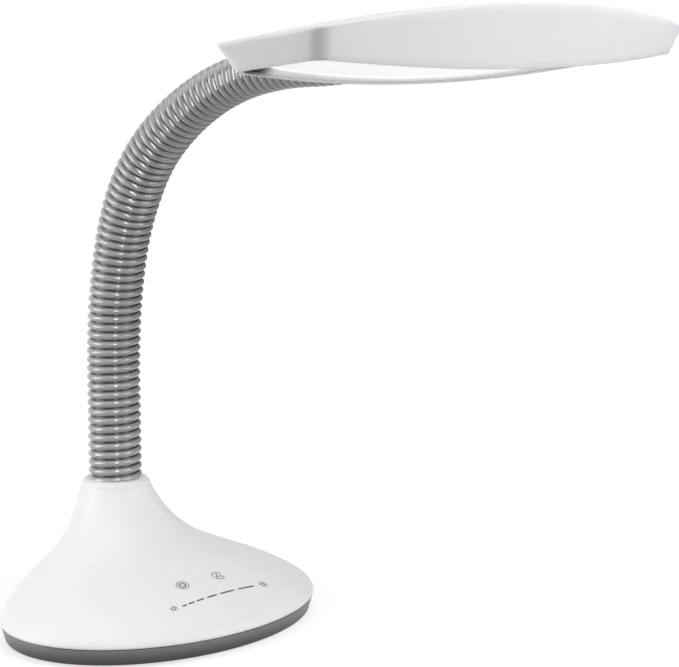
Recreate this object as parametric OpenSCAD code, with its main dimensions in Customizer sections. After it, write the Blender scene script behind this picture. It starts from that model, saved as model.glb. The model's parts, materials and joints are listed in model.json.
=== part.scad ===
// LED desk lamp: weighted oval base with touch controls, ribbed gooseneck and a long lens-shaped head.
// The origin is the middle of the base on the table. The lamp faces -Y and +Z is up. All sizes are in mm.

/* [Base] */
// Width of the base across the lamp, at the seam between cover and tray
base_w = 196; // [176:1:220]
// Depth of the base from front to back, at the seam
base_d = 148; // [133:1:165]
// Height of the seam between cover and tray above the table
seam_z = 10.2; // [9:0.1:12]
// Width of the dark groove between cover and tray
seam_gap = 0.5; // [0.2:0.1:1]
// How far the tray's band draws in from the seam down to its foot
tray_taper = 2.6; // [0:0.1:4]
// Height of the tray's underside above the table
tray_lift = 1; // [0.5:0.1:2]
// Wall of the cover and of the tray
base_wall = 2.4; // [1.6:0.1:3.2]
// Height of the neck's seat on top of the cover
shoulder_z = 77; // [70:1:86]
// Radius of the cover just under the neck's seat
shoulder_r = 19.7; // [19.5:0.1:24]
// Rounding of the edge of the neck's seat
shoulder_round = 3.7; // [2:0.1:4]
// Distance of the neck's axis inside the back of the base
neck_inset = 37.6; // [34:0.1:44]
// Height of the cover's upright side
side_h = 13.4; // [12:0.1:16]
// Rise of the slope from the side to the foot of the flare
slope_h = 23.4; // [16:0.1:26]
// Power of the rounding where the side turns into the slope
side_power = 4; // [3:0.5:6]
// Power of the flare up to the neck
flare_power = 6; // [4:0.5:8]
// Radius of the screws that hold the tray to the cover
screw_r = 1.5; // [1.2:0.1:2]
// Length of the screw shanks
screw_l = 13; // [10:0.5:14]
// Distance of the side screws from the middle of the base
screw_x = 78; // [76:0.5:80]
// Distance of the front screw inside the front of the base
screw_inset = 16; // [15.5:0.1:17]
// Distance of each back screw to the side of the neck
screw_back_x = 38; // [36:0.5:42]
// Distance of the back screws behind the middle of the base
screw_back_y = 46; // [45:0.5:48]
// Radius of the posts that take the screws
post_r = 4.5; // [4:0.1:5]
// Width of the cast ballast
ballast_w = 134; // [110:1:138]
// Depth of the ballast
ballast_d = 88; // [70:1:92]
// Thickness of the ballast
ballast_t = 11; // [8:0.5:12]
// Width of the rubber ring under the tray
foot_w = 6; // [4:0.5:8]
// Distance of the rubber ring inside the tray's lower edge
foot_inset = 3; // [2:0.5:5]
// Depth of the groove that holds the rubber ring
foot_sunk = 1; // [0.5:0.1:1.4]

// Height of the tray's inner lip above the seam
lip_h = 1.5; // [1:0.1:2]
// Distance of the tray's inner lip inside the cover's wall
lip_gap = 2.4; // [2.2:0.1:3]
// Thickness of the tray's inner lip
lip_t = 1.2; // [1:0.1:1.6]
// Rounding of the tray's lower edge
tray_round = 1.2; // [0.6:0.1:1.6]
// Width of the ballast's raised rim
ballast_rim = 6; // [4:0.5:10]
// Depth of the pocket in the ballast
ballast_pocket = 2; // [1:0.1:4]

/* [Electrics] */
// Width of the touch board behind the front slope
touch_w = 64; // [50:1:70]
// Length of the touch board along the slope
touch_l = 24; // [18:1:28]
// Thickness of every circuit board
board_t = 1.6; // [1:0.1:2]
// Distance of the touch board's middle inside the front of the base
touch_inset = 33; // [32.5:0.1:36]
// Depth of the touch board's middle below the cover's outside
touch_drop = 8.5; // [7.5:0.1:9.5]
// Width of the driver board
driver_w = 56; // [44:1:64]
// Depth of the driver board
driver_d = 30; // [24:1:34]
// Height of the spacers under the driver board
spacer_h = 3; // [2:0.5:5]
// Radius of the spacers under the driver board
spacer_r = 2.5; // [2:0.1:3]
// Radius of the small screws in the boards and the clamp
small_r = 1.2; // [1:0.05:1.4]
// Width of the charging socket's shell
usb_w = 13.2; // [13:0.1:15]
// Height of the charging socket's shell
usb_h = 5.8; // [5.6:0.1:6.2]
// Depth of the charging socket
usb_l = 14; // [12:0.5:16]
// Height of the charging socket's middle above the seam
usb_rise = 4.6; // [4.4:0.1:5]
// Depth of the charging socket's mouth inside the rim
usb_inset = 3.4; // [3:0.1:4]
// Direction that the charging socket faces, from +X towards +Y
usb_turn = 132; // [125:1:140]
// Thickness of the charging socket's shell
usb_shell = 0.6; // [0.4:0.05:0.8]
// Thickness of the charging socket's tongue
usb_tongue = 1.8; // [1.4:0.1:2]
// Radius of the power inlet's barrel
inlet_r = 4.2; // [3.8:0.1:5]
// Radius of the power inlet's bore
inlet_bore = 2.8; // [2.5:0.05:3.2]
// Radius of the power inlet's centre pin
inlet_pin = 1; // [0.6:0.05:1.2]
// Length of the power inlet
inlet_l = 15; // [12:0.5:18]
// Height of the power inlet above the seam
inlet_rise = 12.5; // [12:0.5:14]
// Depth of the power inlet's mouth inside the rim
inlet_inset = 4; // [3.4:0.1:4.6]

/* [Neck] */
// Length of each link of the neck's core, from pivot to pivot
link_l = 38; // [34:0.5:42]
// Lean of each link from upright in degrees, from the base to the head
link_lean = [0, 0, 5.6, 14, 29.3, 49.7, 63.4, 78, 89, 83];
// Radius of the ribbed sleeve over its crests, at the base
sleeve_r = 15.2; // [14:0.1:16]
// Radius of the ribbed sleeve over its crests, at the head
sleeve_tip_r = 9.2; // [9:0.1:13]
// Length of sleeve that keeps its full radius before it tapers
taper_start = 166; // [120:1:240]
// Depth of the groove between two turns of the rib
groove = 1.5; // [0.8:0.1:1.8]
// Wall of the sleeve under the groove
sleeve_wall = 1.2; // [0.8:0.1:1.4]
// Turns of the rib, a right-handed helix
rib_turns = 78; // [50:1:90]
// Room between the sleeve's bore and the links
core_gap = 2; // [2:0.1:2.3]
// Wall of a link's tube
link_wall = 2.7; // [2.7:0.1:3]
// Distance from a pivot to the end of a link's tube
link_end = 5.5; // [5.2:0.1:7]
// Radius of a link's ears round the pivot
ear_r = 3.2; // [2.8:0.1:3.6]
// Thickness of a link's ears
ear_t = 1.2; // [1:0.05:1.25]
// How far the strap of an ear runs on along its tube
ear_lap = 3; // [2.6:0.1:3.4]
// Side clearance between two ears
ear_gap = 0.25; // [0.2:0.05:0.3]
// Radius of the pivot pins
pin_r = 1.1; // [0.9:0.1:1.4]
// Radial running clearance of the pivot pins
pin_gap = 0.05; // [0.03:0.01:0.1]
// Radius of the threaded spigot that anchors the neck in the cover
spigot_r = 8; // [7:0.1:8.5]
// Length of the threaded spigot below the neck's seat
spigot_l = 22; // [20:0.5:26]
// Thickness of the anchor's flange on the neck's seat
flange_t = 3; // [2:0.5:4]
// Width of the anchor's nut across its flats
nut_w = 24; // [22:0.5:26]
// Height of the anchor's nut
nut_h = 8; // [6:0.5:9]
// Thickness of the washer above the nut
washer_t = 1.6; // [1:0.1:2]
// Radius of the washer
washer_r = 14; // [13:0.1:15]
// Radius of the lead that runs through the neck
lead_r = 1.5; // [1.2:0.1:1.6]

/* [Head] */
// Length of the head over its top edge
head_l = 275; // [248:1:300]
// How much shorter the head is over its bottom edge
head_draft_l = 8.4; // [6:0.1:12]
// Depth of the head's ends over the top edge
head_d = 63.5; // [58:0.1:70]
// How much less deep the head's ends are over the bottom edge
head_draft_d = 11.8; // [8:0.1:14]
// Bulge of the front and back top edges at the middle
head_bulge = 15; // [12:0.1:18]
// Bulge of the front and back bottom edges at the middle
head_low_bulge = 8.8; // [7:0.1:12]
// Thickness of the head's ends
head_t = 13.1; // [12.5:0.1:16]
// Rise of the top edge at the middle
head_arch = 8.7; // [6:0.1:11]
// Drop of the bottom edge at the middle
head_bow = 6.8; // [5:0.1:9]
// Crown of the top between its front and back edges at the middle
head_crown = 2.6; // [1:0.1:5]
// Radius of the head's upright corners
head_corner = 7; // [5:0.5:10]
// Chamfer along the head's top edge
head_edge = 1.2; // [0.6:0.1:2]
// Wall of the head's cover
head_wall = 2; // [1.5:0.1:2.5]
// Distance from the neck's end to the middle of the head
head_reach = 45.3; // [43:0.1:48]
// Distance of the neck's axis below the head's top corners
head_drop = 5.6; // [5:0.1:7]
// Depth of the bezel's face inside the head's lower edge
bezel_sunk = 1.4; // [0.8:0.1:2]
// Thickness of the bezel
bezel_t = 1.8; // [1.4:0.1:2.2]
// Width of the bezel along the front and back
bezel_side = 1.6; // [1.5:0.1:3]
// Width of the bezel at the ends
bezel_end = 15; // [10:0.5:20]
// Thickness of the diffuser
diffuser_t = 2; // [1.5:0.1:2.5]
// How far the diffuser overlaps the bezel
diffuser_lap = 1.2; // [1:0.1:1.3]
// Side clearance of the bezel in the cover
bezel_gap = 0.3; // [0.2:0.05:0.5]
// Length of the light board
light_l = 200; // [180:1:206]
// Width of the light board
light_w = 38; // [30:1:39]
// Depth of the light board's face below the head's top corners
light_drop = 5; // [4.8:0.1:5.6]
// Thickness of the heat spreader on the light board
spreader_t = 1.5; // [1:0.1:1.8]
// Number of LEDs in each row
led_count = 14; // [8:1:18]
// Distance between the two rows of LEDs
led_gap = 18; // [12:1:22]
// Length of an LED
led_l = 3.5; // [2.8:0.1:5]
// Width of an LED
led_w = 2.8; // [2:0.1:3.5]
// Height of an LED
led_h = 0.8; // [0.5:0.1:1]
// Radius of the collar where the neck enters the head
collar_r = 11.5; // [11:0.1:12]
// Length of the neck's end that is held inside the head
neck_tail = 22.8; // [22:0.1:24]
// Width of the block that clamps the neck's end
clamp_w = 34; // [30:1:40]
// Length of the block along the neck
clamp_l = 11; // [9:0.5:12]
// Height of the block
clamp_h = 15; // [14:0.1:16]
// Depth of the clamp's screw heads inside it
clamp_sunk = 3; // [2:0.1:4]
// Length of the screws that hold the light board
light_screw_l = 7; // [6.5:0.1:8]
// Radius of the posts that hold the light board and the clamp
head_post_r = 3; // [2.5:0.1:3.5]

/* [Hidden] */
$fn = 48;
// Steps round the base, along the cover's slope and round the shoulder
round_steps = 64;
slope_steps = 16;
shoulder_steps = 3;
// Sides of the sleeve, lines along each turn of its rib and rings along its bore in each link
sleeve_sides = 12;
rib_lines = 3;
bore_rings = 3;
// Rings of the lead in each link, and its sides
lead_rings = 5;
lead_sides = 8;
// Stations along the head, steps round its corners and steps across its crown
head_steps = 20;
corner_steps = 5;
crown_steps = 6;
// Sizes of the driver board's coil, chip and connector, and radius and height of its capacitors
coil = [9, 9, 4.5];
chip = [6, 5, 1.2];
plug = [5, 6, 1.4];
capacitor = [2.6, 5];
// Radius of the round touch fields and size of the slider's fields
field_r = 3;
field = [5, 3.5, 0.3];
// Share of the front slope on each side of the touch board's middle that sets its tilt
tilt_u = 0.1;
// Small clearance between pieces that touch
touch = 0.1;
// Extra length of a cut past the face that it opens
past = 1;

white = "#F1F1F1";
grey = "#77777B";
dark = "#48484B";
silver = "#DFE0E3";
steel = "#A9ABAF";
copper = "#C58A4A";
green = "#2E6B43";
black = "#1D1D1F";
glow = "#FDFDF8";

// Derived sizes of the base
base_a = base_w / 2;
base_b = base_d / 2;
neck_back = base_b - neck_inset;
tray_top = seam_z - seam_gap;
floor_z = tray_lift + base_wall;
flare_h = shoulder_z - shoulder_round - seam_z - side_h - slope_h;
seat_r = shoulder_r - shoulder_round;
seat_under = shoulder_z - shoulder_round - base_wall;
ballast_top = floor_z + touch + ballast_t;
driver_z = ballast_top + spacer_h;
screw_spots = [[screw_x, 0], [-screw_x, 0], [0, screw_inset - base_b],
    [screw_back_x, screw_back_y], [-screw_back_x, screw_back_y]];

// Derived sizes of the neck
links = len(link_lean);
neck_l = links * link_l;
rib_pitch = neck_l / (rib_turns + 1);
bead = 1;
tip_lean = link_lean[links - 1];

// Pivots of the neck's core: pivot k carries link k, and the last point is the neck's end
function pivot(k) = k == 0 ? [0, neck_back, shoulder_z]
    : pivot(k - 1) + link_l * [0, -sin(link_lean[k - 1]), cos(link_lean[k - 1])];
pivots = [for (k = [0:links]) pivot(k)];
function middle(k) = (pivots[k] + pivots[k + 1]) / 2;

// Point and direction on the neck's smooth middle line, q links from its foot.
// The line bends from the middle of one link to the middle of the next, and its ends are straight.
function span(q) = min(max(floor(q + 0.5), 1), links - 1);
function on_bend(q) = q >= 0.5 && q <= links - 0.5;
function neck_point(q) = !on_bend(q)
    ? (q < 1 ? pivots[0] + q * (pivots[1] - pivots[0])
             : pivots[links] - (links - q) * (pivots[links] - pivots[links - 1]))
    : let (k = span(q), t = q + 0.5 - k)
      pow(1 - t, 2) * middle(k - 1) + 2 * t * (1 - t) * pivots[k] + t * t * middle(k);
function neck_lean(q) = !on_bend(q) ? link_lean[q < 1 ? 0 : links - 1]
    : let (k = span(q), t = q + 0.5 - k,
           d = (1 - t) * (pivots[k] - middle(k - 1)) + t * (middle(k) - pivots[k]))
      atan2(-d.y, d.z);
// Point at radius r and angle a round the middle line
function round_neck(q, r, a) = let (lean = neck_lean(q))
    neck_point(q) + r * [cos(a), sin(a) * cos(lean), sin(a) * sin(lean)];
// Radius of the sleeve over its crests, and outer radius of link k inside it
function crest_r(q) = sleeve_r
    - (sleeve_r - sleeve_tip_r) * max(0, q * link_l - taper_start) / (neck_l - taper_start);
function bore_r(q) = crest_r(q) - groove - sleeve_wall;
function link_r(k) = bore_r(k + 1) - core_gap;
// Pivots alternate: odd ones nod about X, even ones swing sideways
function nods(k) = k % 2 == 1;
function pivot_lean(k) = nods(k) ? link_lean[k] : (link_lean[k - 1] + link_lean[k]) / 2;

// Triangles that join ring a to ring b of n points each, b following a
function band_faces(a, b, n) = [for (j = [0:n - 1]) let (e = (j + 1) % n)
    each [[a * n + j, b * n + j, b * n + e], [a * n + j, b * n + e, a * n + e]]];

// Solid skin over rings of points; a loop joins the last ring to the first, or else both ends are capped
module skin(rings, loop = false) {
    n = len(rings[0]);
    m = len(rings);
    sides = [for (i = [0:m - (loop ? 1 : 2)]) each band_faces(i, (i + 1) % m, n)];
    first = m * n;
    caps = [for (j = [0:n - 1]) let (e = (j + 1) % n)
        each [[first, j, e], [first + 1, (m - 1) * n + e, (m - 1) * n + j]]];
    points = [each [for (ring = rings) each ring]];
    ones = [for (j = [0:n - 1]) 1];
    if (loop) polyhedron(points, sides);
    else polyhedron(concat(points, [ones * rings[0] / n, ones * rings[m - 1] / n]), concat(sides, caps));
}

module oval(a, b) polygon([for (j = [0:round_steps - 1]) let (t = 360 * j / round_steps)
    [a * cos(t), b * sin(t)]]);
module oval_plate(a, b, h) linear_extrude(h) oval(a, b);
module hollow_rod(r, bore, h) difference() {
    cylinder(r = r, h = h);
    translate([0, 0, -past]) cylinder(r = bore, h = h + 2 * past);
}
module block(size) translate(-[size.x, size.y, 0] / 2) cube(size);

// Oval ring of the cover, u = 1 at the side and 0 at the neck, drawn in by an inset
function cover_ring(u, z, inset) = [for (j = [0:round_steps - 1]) let (t = 360 * j / round_steps)
    [((shoulder_r + (base_a - shoulder_r) * u) - inset) * cos(t),
     neck_back * (1 - u) + ((shoulder_r + (base_b - shoulder_r) * u) - inset) * sin(t), z]];
function cover_z(u) = seam_z + sqrt(1 - pow(u, side_power)) * (side_h + slope_h * (1 - u))
    + flare_h * pow(1 - u, flare_power);
function slope_u(i) = (1 + cos(180 * i / slope_steps)) / 2;

// Outside of the cover from its lower edge up to the neck's seat, then the inside back down
function cover_rings() = concat(
    [for (i = [0:slope_steps]) cover_ring(slope_u(i), cover_z(slope_u(i)), 0)],
    [for (i = [1:shoulder_steps]) let (a = 90 * i / shoulder_steps)
        cover_ring(0, shoulder_z - shoulder_round * (1 - sin(a)), shoulder_round * (1 - cos(a)))],
    [cover_ring(0, shoulder_z, shoulder_r - spigot_r - touch),
     cover_ring(0, seat_under, shoulder_r - spigot_r - touch)],
    [for (i = [slope_steps:-2:2]) cover_ring(slope_u(i), cover_z(slope_u(i)) - base_wall, base_wall)],
    [cover_ring(1, seam_z, base_wall)]);

// Places of the sockets on the cover's side
usb_spot = let (a = base_a - usb_inset, b = base_b - usb_inset,
    t = atan2(sin(usb_turn) * b, cos(usb_turn) * a)) [a * cos(t), b * sin(t), seam_z + usb_rise];
inlet_spot = [0, base_b - inlet_inset, seam_z + inlet_rise];
module at_usb() translate(usb_spot) rotate([0, 0, usb_turn]) children();
module at_inlet() translate(inlet_spot) rotate([-90, 0, 0]) children();
// Place of the touch board under the front slope, and the slope there
front_run = neck_back - shoulder_r + base_b;
touch_u = 1 - touch_inset / front_run;
touch_tilt = atan2(cover_z(touch_u - tilt_u) - cover_z(touch_u + tilt_u), 2 * tilt_u * front_run);
module at_touch() translate([0, touch_inset - base_b, cover_z(touch_u) - touch_drop])
    rotate([touch_tilt, 0, 0]) children();
module touch_posts() for (x = [-1, 1]) translate([x * (touch_w / 2 - post_r), 0, board_t])
    cylinder(r = post_r / 2, h = touch_l);

// Posts that hang from the cover, cut off inside its wall
module cover_posts() intersection() {
    union() {
        for (spot = screw_spots) translate([spot.x, spot.y, seam_z]) cylinder(r = post_r, h = shoulder_z);
        at_touch() touch_posts();
    }
    skin([for (i = [0:slope_steps])
        cover_ring(slope_u(i), cover_z(slope_u(i)) - base_wall / 2, base_wall / 2)]);
}
module base_cover() color(white) difference() {
    union() {
        skin(cover_rings(), loop = true);
        cover_posts();
    }
    for (spot = screw_spots) translate([spot.x, spot.y, seam_z - past])
        cylinder(r = screw_r + pin_gap, h = screw_l - seam_z + floor_z);
    at_usb() translate([-usb_l, -usb_w / 2 - touch, -usb_h / 2 - touch])
        cube([2 * usb_l, usb_w + 2 * touch, usb_h + 2 * touch]);
    at_inlet() translate([0, 0, -inlet_l]) cylinder(r = inlet_r + touch, h = 2 * inlet_l);
}

function tray_ring(inset, z) = [for (j = [0:round_steps - 1]) let (t = 360 * j / round_steps)
    [(base_a - inset) * cos(t), (base_b - inset) * sin(t), z]];
lip_a = base_a - base_wall - lip_gap;
lip_b = base_b - base_wall - lip_gap;
module base_tray() color(grey) difference() {
    union() {
        difference() {
            skin([tray_ring(tray_taper + tray_round, tray_lift),
                tray_ring(tray_taper, tray_lift + tray_round), tray_ring(seam_gap, tray_top)]);
            translate([0, 0, floor_z])
                oval_plate(base_a - tray_taper - base_wall, base_b - tray_taper - base_wall, seam_z);
        }
        translate([0, 0, floor_z - base_wall / 4]) linear_extrude(seam_z + lip_h - floor_z + base_wall / 4)
            difference() {
                oval(lip_a, lip_b);
                oval(lip_a - lip_t, lip_b - lip_t);
            }
        for (spot = screw_spots) translate([spot.x, spot.y, tray_lift + base_wall / 2])
            cylinder(r = post_r, h = seam_z - tray_lift - base_wall / 2);
    }
    for (spot = screw_spots) translate([spot.x, spot.y, 0]) {
        cylinder(r = screw_r + pin_gap, h = 2 * seam_z);
        cylinder(r = 2 * screw_r + touch, h = floor_z);
    }
    translate([0, 0, tray_lift - past]) linear_extrude(past + foot_sunk) difference() {
        oval(foot_a + touch, foot_b + touch);
        oval(foot_a - foot_w - touch, foot_b - foot_w - touch);
    }
}

foot_a = base_a - tray_taper - tray_round - foot_inset;
foot_b = base_b - tray_taper - tray_round - foot_inset;
module foot_ring() color(black) linear_extrude(tray_lift + foot_sunk) difference() {
    oval(foot_a, foot_b);
    oval(foot_a - foot_w, foot_b - foot_w);
}

// Screw of radius r and length l from its head's face, with a chamfered head and a point
module screw(r, l) rotate_extrude() polygon([[0, 0], [1.7 * r, 0], [2 * r, r / 3], [2 * r, r], [r, r],
    [r, l - r], [r / 3, l], [0, l]]);
module tray_screws() color(steel) for (spot = screw_spots) translate([spot.x, spot.y, floor_z - screw_r])
    screw(screw_r, screw_l);

module ballast() color(dark) translate([0, 0, floor_z + touch]) difference() {
    oval_plate(ballast_w / 2, ballast_d / 2, ballast_t);
    translate([0, 0, ballast_t - ballast_pocket]) linear_extrude(ballast_pocket + past) difference() {
        oval(ballast_w / 2 - ballast_rim, ballast_d / 2 - ballast_rim);
        square([driver_w + spacer_r, driver_d + spacer_r], center = true);
    }
}

driver_spots = [for (x = [-1, 1], y = [-1, 1])
    [x * (driver_w / 2 - 1.5 * spacer_r), y * (driver_d / 2 - 1.5 * spacer_r)]];
module board_spacers() color(white) for (spot = driver_spots) translate([spot.x, spot.y, ballast_top])
    hollow_rod(spacer_r, small_r, spacer_h);

// Board with its inductor, capacitors and chips
module driver_board() color(green) translate([0, 0, driver_z]) {
    difference() {
        block([driver_w, driver_d, board_t]);
        for (spot = driver_spots) translate([spot.x, spot.y, -past])
            cylinder(r = small_r, h = board_t + 2 * past);
    }
    translate([-driver_w / 5, 0, board_t]) block(coil);
    for (y = [-1, 1]) translate([driver_w / 6, y * driver_d / 5, board_t])
        cylinder(r = capacitor[0], h = capacitor[1]);
    translate([driver_w / 3, 0, board_t]) block(plug);
    translate([0, 0, board_t]) block(chip);
}

// Board with the copper fields that feel a finger through the cover
module touch_board() color(green) at_touch() {
    block([touch_w, touch_l, board_t]);
    for (x = [-1, 1]) translate([x * touch_w / 6, touch_l / 4, board_t]) cylinder(r = field_r, h = field.z);
    for (i = [-2:2]) translate([i * touch_w / 9, -touch_l / 4, board_t]) block(field);
}

// Charging socket: a folded shell with a tongue of contacts
module usb_socket() color(steel) at_usb() translate([-usb_l, 0, 0]) {
    difference() {
        translate([0, -usb_w / 2, -usb_h / 2]) cube([usb_l, usb_w, usb_h]);
        translate([2 * usb_shell, usb_shell - usb_w / 2, usb_shell - usb_h / 2])
            cube([usb_l, usb_w - 2 * usb_shell, usb_h - 2 * usb_shell]);
    }
    translate([usb_shell, -usb_w / 2 + usb_tongue, 0])
        cube([0.7 * usb_l, usb_w - 2 * usb_tongue, usb_tongue]);
}

// Power inlet: a barrel with its centre pin
module dc_inlet() color(black) at_inlet() translate([0, 0, -inlet_l]) {
    difference() {
        cylinder(r = inlet_r, h = inlet_l + touch);
        translate([0, 0, inlet_r]) cylinder(r = inlet_bore, h = inlet_l);
    }
    translate([0, 0, inlet_r / 2]) cylinder(r = inlet_pin, h = inlet_l - inlet_r);
}

// Frames of the neck: a link's frame has its pivot at the origin and the next pivot up its Z
module at_link(k) translate(pivots[k]) rotate([link_lean[k], 0, 0]) children();
// Frame of pivot k inside the frame of the link with lean link_lean[i], with the pivot's axis along X
module pivot_axis(k, i) rotate([pivot_lean(k) - link_lean[i], 0, 0])
    rotate([0, 0, nods(k) ? 0 : 90]) children();

// Pair of ears on the X axis between radii r and r - ear_t, with a strap that reaches the tube's end at z
module ears(r, z) for (side = [0, 180]) rotate([0, 0, side]) translate([r - ear_t, 0, 0]) {
    rotate([0, 90, 0]) cylinder(r = ear_r, h = ear_t);
    translate([0, -ear_r, min(0, z)]) cube([ear_t, 2 * ear_r, abs(z)]);
}
module pins(r, bore = 0) for (side = [0, 180]) rotate([0, 0, side])
    translate([r - 2 * ear_t - ear_gap - bore, 0, 0]) rotate([0, 90, 0])
        cylinder(r = pin_r + (bore > 0 ? pin_gap : 0), h = 1.5 * ear_t + ear_gap + bore);

// Tube of a link with fork ears at its top end, which carry the pins of pivot k + 1
module link_tube(k, from, to) translate([0, 0, from]) hollow_rod(link_r(k), link_r(k) - link_wall, to - from);
module top_fork(k) translate([0, 0, link_l]) pivot_axis(k + 1, k) {
    ears(link_r(k + 1), -link_end - ear_lap);
    pins(link_r(k + 1));
}
module low_tongue(k) pivot_axis(k, k) difference() {
    ears(link_r(k) - ear_t - ear_gap, link_end + ear_lap);
    pins(link_r(k), bore = past);
}
module neck_link(k) color(steel) at_link(k) {
    link_tube(k, link_end, link_l - link_end);
    top_fork(k);
    low_tongue(k);
}

// Foot of the neck: a flange on the seat, a threaded spigot below it and the first tube above it
module neck_anchor() color(steel) at_link(0) {
    link_tube(0, flange_t, link_l - link_end);
    hollow_rod(bore_r(0) * cos(180 / sleeve_sides) - touch, spigot_r - link_wall, flange_t);
    translate([0, 0, -spigot_l]) hollow_rod(spigot_r, spigot_r - link_wall, spigot_l);
    top_fork(0);
}
module neck_washer() color(steel) translate([0, neck_back, seat_under - washer_t])
    hollow_rod(washer_r, spigot_r + touch, washer_t);
module neck_nut() color(steel) translate([0, neck_back, seat_under - washer_t - nut_h]) difference() {
    cylinder(r = nut_w / sqrt(3), h = nut_h, $fn = 6);
    translate([0, 0, -past]) cylinder(r = spigot_r + pin_gap, h = nut_h + 2 * past);
}

// Last link: its tube runs on through the collar into the head
module neck_tip() color(steel) at_link(links - 1) {
    link_tube(links - 1, link_end, link_l + neck_tail);
    low_tongue(links - 1);
}

// Ribbed sleeve. Its rib is one helix: line i of the rib meets line i + rib_lines after a full turn.
// The rib starts and ends in a blunt face, next to a plain bead of sleeve at each end.
sleeve_rows = rib_lines * floor((neck_l - 2 * bead) / rib_pitch - 1);
sleeve_column = sleeve_rows + 1;
function rib_id(i, j) = j == sleeve_sides ? i + rib_lines
    : j == 0 ? i : sleeve_column * j + rib_lines + i;
function rib_point(i, j) = let (along = bead + rib_step * (i / rib_lines + j / sleeve_sides),
        q = along / link_l, dip = i % rib_lines == 0 ? groove : 0)
    round_neck(q, crest_r(q) - dip, 360 * j / sleeve_sides);
rib_step = (neck_l - 2 * bead) / (sleeve_rows / rib_lines + 1);
module neck_sleeve() color(grey) {
    n = sleeve_sides;
    ribs = [for (j = [0:n - 1]) each [for (i = [0:sleeve_rows + (j == 0 ? rib_lines : 0)]) rib_point(i, j)]];
    count = len(ribs);
    rings = bore_rings * links;
    ends = [for (q = [0, links]) each [for (j = [0:n - 1]) round_neck(q, crest_r(q) - groove, 360 * j / n)]];
    bore = [for (i = [0:rings]) let (q = i / bore_rings)
        each [for (j = [0:n - 1]) round_neck(q, bore_r(q), 360 * j / n)]];
    low = count;
    high = count + n;
    wall = count + 2 * n;
    last = wall + rings * n;
    polyhedron(concat(ribs, ends, bore), concat(
        [for (j = [0:n - 1], i = [0:sleeve_rows - 1]) each [
            [rib_id(i, j), rib_id(i + 1, j), rib_id(i + 1, j + 1)],
            [rib_id(i, j), rib_id(i + 1, j + 1), rib_id(i, j + 1)]]],
        [for (j = [0:n - 1]) let (e = (j + 1) % n) each [
            [low + j, rib_id(0, j), rib_id(0, j + 1)],
            [low + j, rib_id(0, j + 1), low + e],
            [high + j, rib_id(sleeve_rows, j + 1), rib_id(sleeve_rows, j)],
            [high + j, high + e, rib_id(sleeve_rows, j + 1)],
            [low + j, low + e, wall + e], [low + j, wall + e, wall + j],
            [high + j, last + e, high + e], [high + j, last + j, last + e]]],
        [for (i = [0:rib_lines - 1]) each [
            [low, i + 1, i],
            [high, sleeve_rows + i, sleeve_rows + i + 1]]],
        [for (i = [0:rings - 1], j = [0:n - 1]) let (e = (j + 1) % n) each [
            [wall + i * n + j, wall + i * n + e, wall + (i + 1) * n + e],
            [wall + i * n + j, wall + (i + 1) * n + e, wall + (i + 1) * n + j]]]));
}

// Lead from the driver board through the neck to the light board
lead_foot = [0, driver_d / 2 + 2 * lead_r, driver_z + board_t + lead_r + touch];
lead_turn = [0, neck_back - 2 * lead_r, shoulder_z - spigot_l - 8 * lead_r];
module lamp_lead() color(black) {
    steps = lead_rings * links;
    ring = [for (j = [0:lead_sides - 1]) 360 * j / lead_sides];
    skin(concat(
        [[for (a = ring) lead_foot + lead_r * [cos(a), 0, sin(a)] - [0, driver_d / 4, 0]],
         [for (a = ring) lead_foot + lead_r * [cos(a), 0, sin(a)]],
         [for (a = ring) lead_turn + lead_r * [cos(a), sin(a) * sin(45), sin(a) * cos(45)]]],
        [for (i = [-1:steps + 2]) [for (a = ring) round_neck(i / lead_rings, lead_r, a)]]));
}

// Frame of the head: its middle between the top corners, facing -Y
module at_head() translate(pivots[links]) rotate([tip_lean - 90, 0, 0])
    translate([0, -head_reach, head_drop]) children();
// Head's outline: s runs from -1 to 1 along it and v from 0 at the lower edge to 1 at the upper edge
function mid(s) = 1 - s * s;
function mix(low, high, v) = low + (high - low) * v;
function head_x(s, v, inset) = s * ((head_l - mix(head_draft_l, 0, v)) / 2 - inset);
function corner_cut(s) = let (d = max(0, head_corner - (1 - abs(s)) * head_l / 2))
    head_corner - sqrt(pow(head_corner, 2) - d * d);
function head_y(s, v, inset) = mix((head_d - head_draft_d) / 2 + head_low_bulge * mid(s),
    head_d / 2 + head_bulge * mid(s), v) - inset - corner_cut(s);
function low_z(s) = -head_t - head_bow * mid(s);
function top_z(s) = head_arch * mid(s);
// Stations along the head, closer together round its corners
head_stations = let (turn = 2 * head_corner / head_l) concat(
    [for (i = [0:corner_steps - 1]) -1 + turn * (1 - cos(90 * i / corner_steps))],
    [for (i = [0:head_steps]) mix(turn - 1, 1 - turn, i / head_steps)],
    [for (i = [corner_steps - 1:-1:0]) 1 - turn * (1 - cos(90 * i / corner_steps))]);

// Section of the cover's outside or inside at station s, as a ring from back to front over the top
function cover_section(s, inset, lower) = concat(
    [[head_x(s, 0, inset), head_y(s, 0, inset), low_z(s) - lower]],
    inset > 0 ? [] : [[head_x(s, 1, 0), head_y(s, 1, 0), top_z(s) - head_edge]],
    [for (i = [0:crown_steps]) let (t = cos(180 * i / crown_steps), edge = inset > 0 ? 0 : head_edge)
        [head_x(s, 1, inset), t * (head_y(s, 1, inset) - edge),
         top_z(s) - inset + head_crown * mid(s) * (1 - t * t)]],
    inset > 0 ? [] : [[head_x(s, 1, 0), -head_y(s, 1, 0), top_z(s) - head_edge]],
    [[head_x(s, 0, inset), -head_y(s, 0, inset), low_z(s) - lower]]);

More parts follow.
